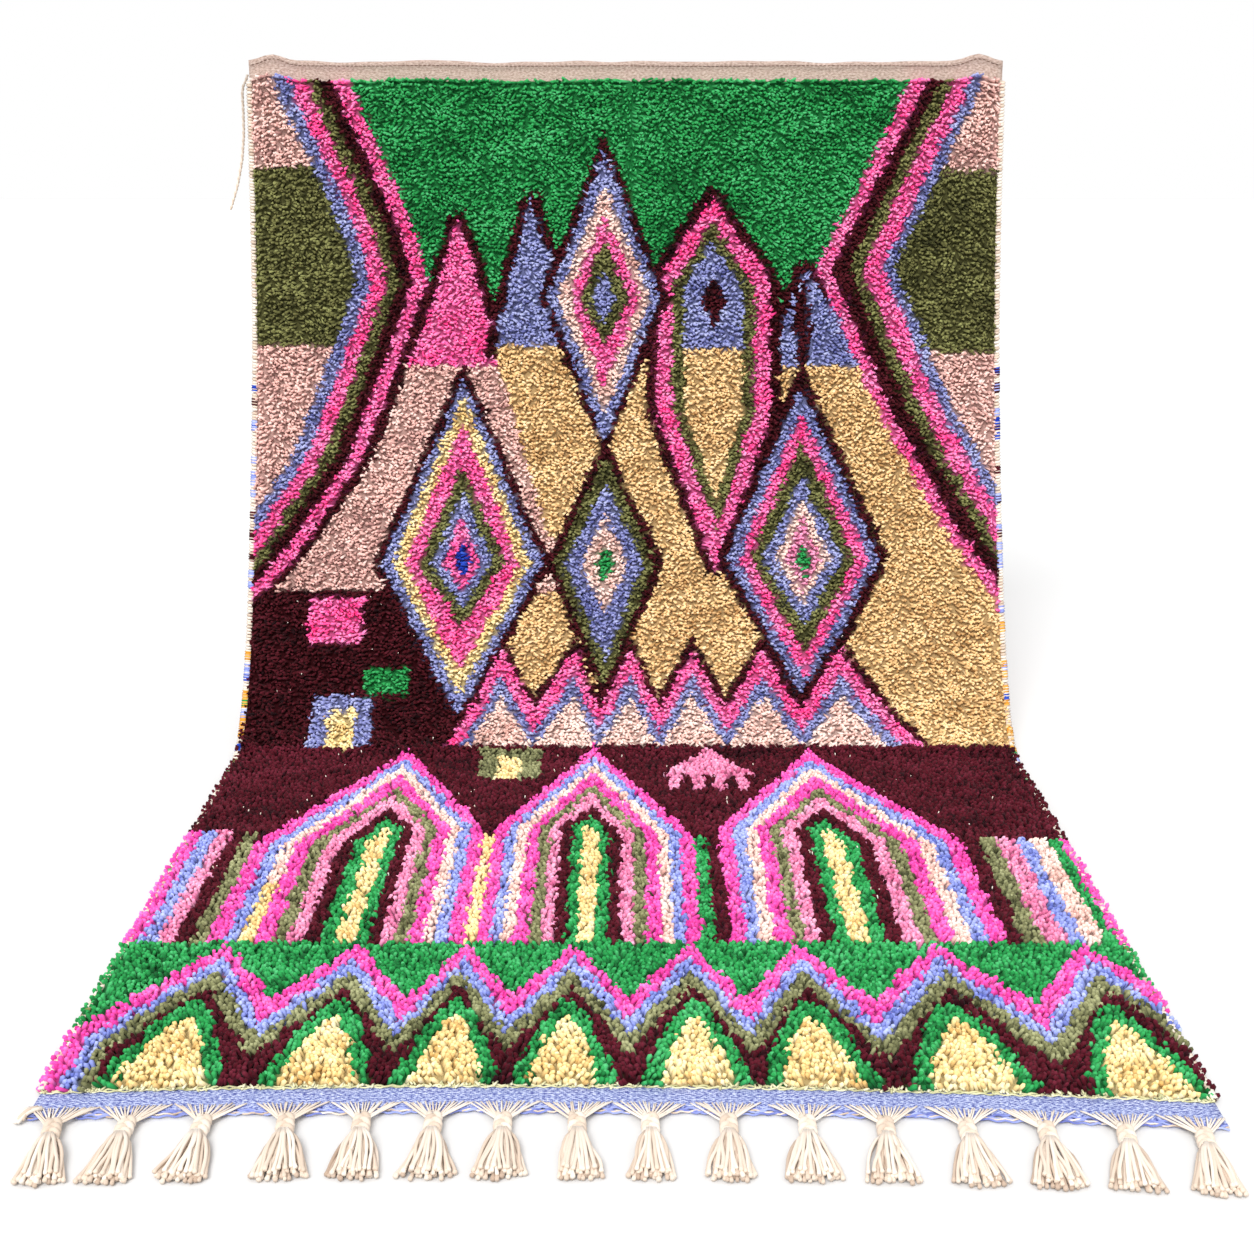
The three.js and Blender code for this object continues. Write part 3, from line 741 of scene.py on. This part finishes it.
def knotted_material(name, dark, ivory_share):
    """The knotted ground. Its yarn colours are an attribute of the cloth: darkened by dark in front, as
    painted shade between the pile's roots, and on the back small dashes of the knots between ivory weft."""
    material, tree, shader = new_material(name)
    dyed = node(tree, "ShaderNodeAttribute", attribute_name="wool")
    cells = weave_cells(tree, KNOT_CELL, 0.24, 0.4, (0.9, 0.7), 0.0)
    share = node(tree, "ShaderNodeMapRange",
                 {"From Min": 0.15, "From Max": 0.6, "To Min": 1 - ivory_share, "To Max": 1.0},
                 {"Value": (cells, "Color")})
    mixed = node(tree, "ShaderNodeMix", {"A": (*linear(COTTON[1]), 1)},
                 {"Factor": (share, "Result"), "B": (dyed, "Color")}, data_type="RGBA")
    shaded = node(tree, "ShaderNodeMix", {"Factor": 1.0, "B": grey(dark)}, {"A": (mixed, "Result")},
                  data_type="RGBA", blend_type="MULTIPLY")
    tree.links.new(shaded.outputs["Result"], shader.inputs["Base Color"])
    raise_cells(tree, shader, cells, 0.0015)
    shader.inputs["Roughness"].default_value = 0.95
    shader.inputs["Specular IOR Level"].default_value = 0.1
    return material


def make_ground():
    """The woven cloth as a closed sheet: header with its hem, knotted ground and foot band in one length."""
    even_rows = np.arange(FINE_ROWS[-1] + GROUND_ROW, FOOT_ROWS[0], GROUND_ROW)
    rows = [*FINE_ROWS, *even_rows, *FOOT_ROWS]
    deselect()
    bpy.ops.mesh.primitive_grid_add(x_subdivisions=GROUND_COLUMNS, y_subdivisions=len(rows) - 1, size=2)
    cloth = bpy.context.object
    cloth.name = "ground_cloth"
    bpy.ops.object.mode_set(mode="EDIT")
    bpy.ops.mesh.extrude_region_move(TRANSFORM_OT_translate={"value": (0, 0, 1)})
    bpy.ops.mesh.select_all(action="SELECT")
    bpy.ops.mesh.normals_make_consistent(inside=False)
    bpy.ops.object.mode_set(mode="OBJECT")
    mesh = cloth.data
    flat = np.array([v.co for v in mesh.vertices])
    across = flat[:, 0] * HALF_WIDTH
    along = np.interp((1 - flat[:, 1]) / 2 * (len(rows) - 1), np.arange(len(rows)), rows)
    face = flat[:, 2] > 0.5
    height = np.where(face, np.interp(along, *zip(*CLOTH_LAYERS)), 0.0)
    waved = along - 0.0022 * smooth_noise(across, across * 0, 0.07, 9) * (1 - ramp(0, 0.03, along))
    mesh.vertices.foreach_set("co", place(across, waved, height).astype(np.float32).ravel())

    corners = np.zeros(len(mesh.loops), np.int32)
    mesh.loops.foreach_get("vertex_index", corners)
    weave = mesh.uv_layers[0]
    weave.name = "weave"
    weave.uv.foreach_set("vector", np.stack([across + 1, along], -1)[corners].astype(np.float32).ravel())
    wool = pick_wool(across, along)
    colours = np.array([(*linear(WOOL[name][1]), 1) for name in WOOL_NAMES])[wool]
    dyed = mesh.color_attributes.new(name="wool", type="FLOAT_COLOR", domain="POINT")
    dyed.data.foreach_set("color", colours.astype(np.float32).ravel())

    header, ground, band, back = range(4)
    undyed = ("#7c6759", "#bca397", "#dfcfc3")
    blue = ("#3f4894", "#8b96c8", "#cdd5f2")
    mesh.materials.append(woven_material("plain-woven undyed wool", undyed, 0.0021, 0.42))
    # Under the pile the wool colours are darkened to 0.42: painted shade in the gaps between the yarn ends
    mesh.materials.append(knotted_material("knotted ground in painted shade under the pile", 0.42, 0.0))
    mesh.materials.append(woven_material("plain-woven blue wool", blue, 0.0024, 0.85))
    mesh.materials.append(knotted_material("knotted back", 0.92, 0.75))
    kinds = np.zeros(len(mesh.polygons), np.int32)
    for number, polygon in enumerate(mesh.polygons):
        middle = along[list(polygon.vertices)].mean()
        backs = not face[list(polygon.vertices)].any()
        if middle < FINE_ROWS[-2]:
            kinds[number] = header
        elif middle > FOOT_ROWS[1]:
            kinds[number] = band
        else:
            kinds[number] = back if backs else ground
    mesh.polygons.foreach_set("material_index", kinds)
    mesh.polygons.foreach_set("use_smooth", np.ones(len(kinds), bool))
    mesh.update()
    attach(cloth, "root")
    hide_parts("rug")
    return cloth


# Bound sides, stitches and the cords at the foot

# Coloured yarns wound over both sides: wool, where they start and end along the cloth, how many
CARRIED = (
    ("navy", 0.58, 0.74, 6), ("oxblood", 0.57, 0.98, 12), ("sky", 0.60, 1.10, 18), ("amber", 1.04, 1.40, 18),
    ("sky", 1.15, 1.45, 6), ("navy", 1.20, 1.50, 5), ("green", 1.25, 2.20, 16), ("olive", 1.30, 2.45, 16),
)
AMBER = ("#8a5a1c", "#d9952f", "#eab75e")
# A loop round the side: how far it turns each way, how far in and up its middle lies, and its half-sizes
LOOP = {"turn": 0.55 * math.pi, "inset": 0.0045, "out": 0.0098, "middle": 0.0078, "up": 0.0045}
LOOP_SLANT = (-0.002, 0.003)
LOOP_RINGS = (0.0, 0.25, 0.5, 0.75, 1.0)
LOOP_AXIS = (0.0, 0.3, 1.0)
BINDING = {"pitch": 0.0062, "stray": 0.0008, "radius": 0.0029}
CARRIED_YARN = {"turns": 3, "pitch": 0.0052, "radius": 0.0034}


def wound_paths(side, along):
    """Loops over a side of the rug, from its back round the edge to the pile."""
    turn = np.linspace(-LOOP["turn"], LOOP["turn"], 6)[None]
    reach = HALF_WIDTH - LOOP["inset"] + LOOP["out"] * np.cos(turn)
    height = LOOP["middle"] + LOOP["up"] * np.sin(turn)
    return place(side * reach, along + np.linspace(*LOOP_SLANT, 6)[None], height)


def make_overcast(cotton):
    """The loops of warp yarn that bind both sides, from the header to the foot band."""
    rng = np.random.default_rng(SEED + 20)
    loop = yarn_model("overcasting loop", 4, LOOP_RINGS)
    wraps = np.arange(HEADER_END, BAND_START, BINDING["pitch"])[:, None]
    pieces = []
    for side, name in ((-1, "left"), (1, "right")):
        paths = wound_paths(side, wraps + rng.uniform(-BINDING["stray"], BINDING["stray"], wraps.shape))
        copies = sweep(loop, paths, np.full(paths.shape[:2], BINDING["radius"]), LOOP_AXIS)
        tints = rng.uniform(0.3, 1, len(wraps))
        pieces.append(joined_yarns(f"overcast_{name}", [(loop, copies, tints)], cotton))
    return pieces


def make_carried():
    """Coloured yarns that were carried over the sides to the next row, each wound round a few times."""
    rng = np.random.default_rng(SEED + 30)
    loop = yarn_model("carried loop", 4, LOOP_RINGS)
    turns = np.arange(CARRIED_YARN["turns"]) * CARRIED_YARN["pitch"]
    amber = yarn_material("hand-spun amber wool", AMBER, 0.62, 0.03)
    pieces = []
    for number, (name, start, end, count) in enumerate(CARRIED):
        along = (rng.uniform(start, end, count)[:, None] + turns).reshape(-1, 1)
        side = np.repeat(rng.choice((-1.0, 1.0), count), len(turns))[:, None]
        paths = wound_paths(side, along)
        copies = sweep(loop, paths, np.full(paths.shape[:2], CARRIED_YARN["radius"]), LOOP_AXIS)
        material = amber if name == "amber" else bpy.data.materials[f"hand-spun {name} wool"]
        tints = rng.uniform(0.3, 0.9, len(along))
        pieces.append(joined_yarns(f"carried_{name}_{number + 1}", [(loop, copies, tints)], material))
    return pieces


HEM_STITCH = {"from_edge": 0.0085, "pitch": 0.0085, "half": 0.0031, "height": 0.0056, "radius": 0.0007}


def make_hem_stitches():
    """A dotted line of brown running stitches that holds the header's turned hem."""
    rng = np.random.default_rng(SEED + 21)
    stitch = yarn_model("hem stitch", 4, (0.0, 0.5, 1.0))
    across = np.arange(-HALF_WIDTH + 0.008, HALF_WIDTH - 0.008, HEM_STITCH["pitch"])[:, None]
    line = HEM_STITCH["from_edge"] + 0.0008 * smooth_noise(across, 0 * across, 0.1, 12)
    reach = HEM_STITCH["half"] * np.array([[-1, 0, 1]])
    paths = place(across + reach, line, HEM_STITCH["height"] + 0.0006 * np.array([[-1, 1, -1]]))
    copies = sweep(stitch, paths, np.full(paths.shape[:2], HEM_STITCH["radius"]))
    dark = yarn_material("brown sewing thread", ("#3f2a20", "#5e4334", "#7c604e"), 0.9, 0.05)
    return joined_yarns("hem_stitches", [(stitch, copies, rng.uniform(0.2, 0.8, len(across)))], dark)


# Cords across the foot: yarn, along, height over the back, radius, phase of the twist, how far it strays
BAND_LINES = (("pale", BAND_START + 0.001, 0.0062, 0.0015, 0.0, 0.0016),
              ("pale", BAND_START + 0.0035, 0.0056, 0.0012, 2.2, 0.0010))
FOOT_CORDS = (("blue", CLOTH_LENGTH + 0.0035, 0.0032, 0.0017, 0.0, 0.0014),
              ("blue", CLOTH_LENGTH + 0.0075, 0.0030, 0.0015, 1.8, 0.0020),
              ("blue", CLOTH_LENGTH + 0.0120, 0.0030, 0.0014, 3.1, 0.0030),
              ("cotton", CLOTH_LENGTH + 0.0100, 0.0034, 0.0012, 4.4, 0.0034))
CORD_STEPS = 300
CORD_TWIST = 0.019
BAND_TUFTS = {"count": 420, "clump": 0.04, "height": 0.0070, "radius": 0.0017}


def make_foot_cords(cotton):
    """Slack weft cords: pale ones where the pile ends, blue and undyed ones past the foot band's edge."""
    rng = np.random.default_rng(SEED + 22)
    materials = {"cotton": cotton,
                 "pale": yarn_material("pale yellow weft", ("#9c9c6a", "#d8d5a8", "#f2edcb"), 0.8, 0.1),
                 "blue": yarn_material("blue weft cord", ("#4c56a4", "#8f9ad6", "#b8c3f0"), 0.8, 0.1)}
    ply = yarn_model("ply", 5, tuple(np.linspace(0, 1, CORD_STEPS + 1)))
    reach = np.linspace(-HALF_WIDTH, HALF_WIDTH, CORD_STEPS + 1)
    pieces = []
    for name, rows in (("band_line", BAND_LINES), ("foot_cord", FOOT_CORDS)):
        for number, (yarn, along, height, thick, phase, stray) in enumerate(rows):
            strayed = along + stray * smooth_noise(reach, 0 * reach, 0.03, 14 + number)
            uneven = smooth_noise(reach, 0 * reach, 0.05, 24 + number)
            turn = reach * FULL_TURN / CORD_TWIST + phase + uneven
            path = place(reach, strayed + 0.8 * thick * np.cos(turn), height + 0.8 * thick * np.sin(turn))
            copies = sweep(ply, path[None], np.full((1, CORD_STEPS + 1), thick))
            shade = np.interp(ply[0][:, 2], np.linspace(0, 1, 90), rng.uniform(0.1, 0.9, 90))
            pieces.append(joined_yarns(f"{name}_{number + 1}", [(ply, copies, shade[None])], materials[yarn],
                                       (0.8, 0.1)))
    stub = yarn_model("band tuft", 4, (0.0, 0.5, 1.0))
    across = rng.uniform(-HALF_WIDTH, HALF_WIDTH, BAND_TUFTS["count"])
    clumps = smooth_noise(across, 0 * across, BAND_TUFTS["clump"], 33)
    across = across[clumps + rng.uniform(-0.4, 0.4, len(across)) > -0.1][:, None]
    steps = np.linspace(0, 1, 3)[None]
    aside = across + rng.uniform(-0.006, 0.006, across.shape) * steps
    root = KNOTS_END + rng.uniform(-0.002, 0.002, across.shape)
    down = root + rng.uniform(0.003, 0.008, across.shape) * steps
    paths = place(aside, down, BAND_TUFTS["height"] + rng.uniform(0, 0.005, across.shape) - 0.0015 * steps)
    copies = sweep(stub, paths, np.full(paths.shape[:2], BAND_TUFTS["radius"]), (0.3, 0.0, 1.0))
    tints = rng.uniform(0.2, 1, len(across))
    pieces.append(joined_yarns("band_tufts", [(stub, copies, tints)], materials["pale"]))
    return pieces


# Where the tiny warp ends may lie, how many are tried, and their size
SPECKS = {"across": (-0.70, 0.70), "along": (0.95, 2.10), "count": 240, "length": 0.0085, "radius": 0.0010}


def make_specks(cotton):
    """Tiny pale ends of warp that show between the darkest yarns."""
    rng = np.random.default_rng(SEED + 31)
    speck = yarn_model("warp speck", 4, (0.0, 1.0))
    across = rng.uniform(*SPECKS["across"], SPECKS["count"])
    along = rng.uniform(*SPECKS["along"], SPECKS["count"])
    dark = np.isin(pick_wool(across, along), [WOOL_NAMES.index("oxblood"), WOOL_NAMES.index("maroon")])
    across, along = across[dark][:, None], along[dark][:, None]
    steps = np.array([[0.0, 1.0]])
    lean = rng.uniform(-0.003, 0.003, (2, *across.shape))
    height = PILE_HEIGHT - 0.008 + SPECKS["length"] * steps
    paths = place(across + lean[0] * steps, along + lean[1] * steps, height)
    copies = sweep(speck, paths, np.full(paths.shape[:2], SPECKS["radius"]), (0.2, 0.0, 1.0))
    return joined_yarns("warp_specks", [(speck, copies, rng.uniform(0.4, 1, len(across)))], cotton)


# Tassels

FAN_THREADS = 19
FAN_STEPS = 10
FAN_HEIGHT = 0.0054
# Where a fan's threads leave the band, measured back from its edge, and how far they reach into the neck
FAN_START = (0.005, 0.010)
NECK = {"half_width": 0.0075, "reach": 0.010}
PLAIT_STEPS = 25
# How often a strand of the plait goes from side to side, its height, and its rise over the others
PLAIT = {"waves": 1.35, "height": 0.0088, "rise": 0.0030, "radius": 0.0047}
# The skirt's layers from the floor up: strands, height, share of the width, share of the length, tints. The
# lower layers' tints are darker, as painted shade under the strands above
SKIRT_LAYERS = ((14, 0.0034, 1.0, 1.0, (0.15, 0.7)), (12, 0.0074, 0.88, 0.97, (0.35, 0.9)),
                (7, 0.0112, 0.62, 0.91, (0.5, 0.95)))
SKIRT_STEPS = 12
SKIRT = {"strand": 0.0024, "root_half_width": 0.0070, "swing": 0.0036, "tuck": 0.006, "lowest": 0.0038}
# A strand ends in a blunt knob: where it starts and is full along the strand, and how much thicker it is
KNOB = {"start": 0.88, "full": 0.97, "swell": 0.28}
CORNER_BUNDLE = {"threads": 7, "steps": 8, "height": 0.0058, "radius": 0.0033, "reach": (0.022, 0.028)}


def fan_group(across, neck, rng):
    """Warp ends that leave the band a little above its edge and run in to the neck, apart from each other."""
    start = np.linspace(-1, 1, FAN_THREADS) + rng.uniform(-0.04, 0.04, FAN_THREADS)
    finish = np.clip(start * 0.5 + rng.uniform(-0.4, 0.4, FAN_THREADS), -1, 1)
    steps = np.linspace(0, 1, FAN_STEPS)[None]
    out = np.clip(across + FAN["half_width"] * start, -HALF_WIDTH, HALF_WIDTH)
    edge = place(out, CLOTH_LENGTH, 0)[:, 1] + rng.uniform(*FAN_START, FAN_THREADS)
    inward = across + NECK["half_width"] * finish - out
    forward = neck - NECK["reach"] - edge
    droop = 1.0 + 0.30 * np.abs(start)[:, None]
    x = out[:, None] + inward[:, None] * steps ** 1.25
    y = edge[:, None] + forward[:, None] * steps ** droop
    lift = rng.uniform(0, 1, (FAN_THREADS, 1)) * np.sin(steps * math.pi)
    z = FAN_HEIGHT + 0.0006 * rng.uniform(-1, 1, (FAN_THREADS, 1)) + 0.0045 * steps ** 2 + 0.0022 * lift
    paths = np.stack([x, y, z], -1)
    radii = np.linspace(0.0010, 0.0014, FAN_STEPS)[None] * rng.uniform(0.9, 1.15, (FAN_THREADS, 1))
    return paths, radii, rng.uniform(0.55, 1, FAN_THREADS)


def plait_group(rng):
    """Three strands that pass over each other down the knot."""
    steps = np.linspace(0, 1, PLAIT_STEPS)
    strands = []
    for third in range(3):
        wave = FULL_TURN * (PLAIT["waves"] * steps + third / 3) + rng.uniform(-0.2, 0.2)
        swell = 0.78 + 0.22 * np.sin(steps * math.pi)
        strands.append(np.stack([KNOT["half_width"] * np.sin(wave) * swell,
                                 0.004 - (KNOT["length"] + 0.008) * steps,
                                 PLAIT["height"] + PLAIT["rise"] * np.sin(2 * wave)], -1))
    radii = PLAIT["radius"] * (0.82 + 0.18 * np.sin(np.linspace(0.12, 0.88, PLAIT_STEPS) * math.pi))
    return np.array(strands), np.tile(radii, (3, 1)), rng.uniform(0.4, 0.85, 3)


def skirt_group(layer, spread, rng):
    """One layer of a skirt's strands, which spread from the knot and end in small blunt knobs."""
    count, rest, width, reach, tints = layer
    share = np.linspace(-1, 1, count) * width + rng.uniform(-0.07, 0.07, count)
    length = SKIRT_LENGTH * reach * (1 - 0.06 * share ** 2) * rng.uniform(0.88, 1.0, count)
    steps = np.linspace(0, 1, SKIRT_STEPS)[None]
    swing = rng.uniform(-SKIRT["swing"], SKIRT["swing"], (count, 1))
    swing = swing * np.sin(steps * math.pi * rng.uniform(1, 2, (count, 1)))
    x = share[:, None] * (SKIRT["root_half_width"] + (spread / 2 - 0.0100) * steps ** 0.62) + swing
    y = SKIRT["tuck"] - KNOT["length"] - (length[:, None] + SKIRT["tuck"]) * steps
    root = 0.0040 + 1.1 * rest
    z = rest + (root - rest) * (1 - steps) ** 1.6 + rng.uniform(-0.0006, 0.0016, (count, 1)) * steps
    paths = np.stack([x, y, np.maximum(z, SKIRT["lowest"])], -1)
    radii = SKIRT["strand"] * (1 + 0.10 * np.sin(steps * 19 + rng.uniform(0, 6, (count, 1))))
    radii = radii * (1 + KNOB["swell"] * ramp(KNOB["start"], KNOB["full"], steps))
    radii = radii * rng.uniform(0.9, 1.08, (count, 1))
    # Tints of this layer: darker for the lower layers, as painted shade under the strands above
    return paths, radii, rng.uniform(*tints, count)


def corner_group(rng):
    """The slack bundle of warp ends that hangs free at the foot band's left corner."""
    count = CORNER_BUNDLE["threads"]
    steps = np.linspace(0, 1, CORNER_BUNDLE["steps"])[None]
    start = np.linspace(-HALF_WIDTH + 0.001, -HALF_WIDTH + 0.015, count)[:, None]
    finish = -HALF_WIDTH - 0.006 + rng.uniform(-0.005, 0.005, (count, 1))
    edge = place(start, CLOTH_LENGTH, 0)[..., 1] + 0.004
    x = start + (finish - start) * steps ** 0.7
    y = edge - rng.uniform(*CORNER_BUNDLE["reach"], (count, 1)) * steps
    z = CORNER_BUNDLE["height"] + rng.uniform(0, 0.003, (count, 1)) + 0.003 * np.sin(steps * math.pi)
    paths = np.stack([x, y, z - 0.002 * steps], -1)
    return paths, np.full(paths.shape[:2], CORNER_BUNDLE["radius"]), rng.uniform(0.4, 1, count)


# Nearly upright, so that no yarn runs along it
TASSEL_AXIS = (0.0, 0.05, 1.0)


def tassel_piece(number, across, turn, spread, models, cotton):
    """Warp ends gathered from the band's edge into a plaited knot, and left as a skirt that lies on the
    floor."""
    rng = np.random.default_rng(SEED + 40 + number)
    fan_thread, plait_strand, skirt_strand = models
    neck = place(across, CLOTH_LENGTH, 0)[1] - FAN["length"]
    cos, sin = math.cos(math.radians(turn)), math.sin(math.radians(turn))
    turned = np.array([[cos, sin, 0], [-sin, cos, 0], [0, 0, 1]])
    origin = np.array([across, neck, 0])

    groups = [(fan_thread, *fan_group(across, neck, rng))]
    if number == 1:
        groups.append((fan_thread, *corner_group(rng)))
    knotted = [(plait_strand, *plait_group(rng))]
    knotted += [(skirt_strand, *skirt_group(layer, spread, rng)) for layer in SKIRT_LAYERS]
    groups += [(model, paths @ turned + origin, radii, tints) for model, paths, radii, tints in knotted]
    yarns = [(model, sweep(model, paths, radii, TASSEL_AXIS), tints) for model, paths, radii, tints in groups]
    piece = joined_yarns(f"cotton_tassel_{number:02d}", yarns, cotton, (0.55, 0.38))
    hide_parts(f"tassel_{number:02d}")
    return piece


def make_tassels(cotton):
    """All tassels, from left to right."""
    models = (
        yarn_model("fan thread", 5, tuple(np.linspace(0, 1, 8))),
        yarn_model("plait strand", 8, tuple(np.linspace(0, 1, 19))),
        yarn_model("skirt strand", 6, (0.0, 0.15, 0.3, 0.45, 0.6, 0.75, 0.87, 0.95, 1.0)),
    )
    return [tassel_piece(i + 1, *row, models, cotton) for i, row in enumerate(TASSELS)]


# The loose thread

def make_thread(cotton):
    """A slack two-ply end of warp yarn that hangs down beside the pile."""
    route = np.array([(x, TOP_Y - front, z) for x, front, z in THREAD_ROUTE])
    run = np.concatenate([[0], np.cumsum(np.linalg.norm(np.diff(route, axis=0), axis=1))])
    at = np.linspace(0, run[-1], THREAD_STEPS + 1)
    middle = np.stack([np.interp(at, run, route[:, i]) for i in range(3)], -1)
    for _ in range(THREAD_SMOOTHING):
        middle[1:-1] = (middle[:-2] + 2 * middle[1:-1] + middle[2:]) / 4
    ply = yarn_model("thread ply", 6, tuple(np.linspace(0, 1, THREAD_STEPS + 1)))
    offset = THREAD_THICKNESS / 4
    plies = []
    for phase in (0, math.pi):
        turn = FULL_TURN * at / THREAD_TWIST + phase
        plies.append(middle + offset * np.stack([np.cos(turn), np.sin(turn), 0 * turn], -1))
    paths = np.array(plies)
    copies = sweep(ply, paths, np.full(paths.shape[:2], offset * 1.2), (0.0, 1.0, 0.0))
    piece = joined_yarns("hanging_thread", [(ply, copies, np.array([0.45, 0.75]))], cotton)
    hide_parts("loose_thread")
    return piece


# Floor and light

FLOOR_GREY = 0.68
# The softbox: its tilt and turn in degrees, its strength, and how wide it looks in degrees
SUN = {"tilt": 43, "turn": -14, "energy": 2.7, "angle": 28}


def make_studio():
    """A plain pale floor under an even white sky, with one wide softbox overhead."""
    deselect()
    bpy.ops.mesh.primitive_plane_add(size=40, location=(0, 0, -0.0005))
    floor = bpy.context.object
    floor.name = "floor"
    material, _, shader = new_material("plain pale floor")
    shader.inputs["Base Color"].default_value = grey(FLOOR_GREY)
    shader.inputs["Roughness"].default_value = 0.9
    floor.data.materials.append(material)
    world = bpy.data.worlds.new("soft white studio")
    world.use_nodes = True
    world.node_tree.nodes["Background"].inputs["Color"].default_value = grey(1)
    world.node_tree.nodes["Background"].inputs["Strength"].default_value = 1.0
    bpy.context.scene.world = world
    bpy.ops.object.light_add(type="SUN", rotation=(math.radians(SUN["tilt"]), math.radians(SUN["turn"]), 0))
    sun = bpy.context.object
    sun.name = "softbox overhead"
    sun.data.energy = SUN["energy"]
    sun.data.angle = math.radians(SUN["angle"])
    bpy.context.scene.view_settings.view_transform = "Standard"


make_camera()
cotton_yarn = yarn_material("plied undyed cotton", COTTON, 0.62, 0.15)
make_thread(cotton_yarn)
ground_cloth = make_ground()
pile = make_pile()
overcast = make_overcast(cotton_yarn)
hem_stitches = make_hem_stitches()
foot_cords = make_foot_cords(cotton_yarn)
carried = make_carried()
warp_specks = make_specks(cotton_yarn)
make_tassels(cotton_yarn)
make_studio()
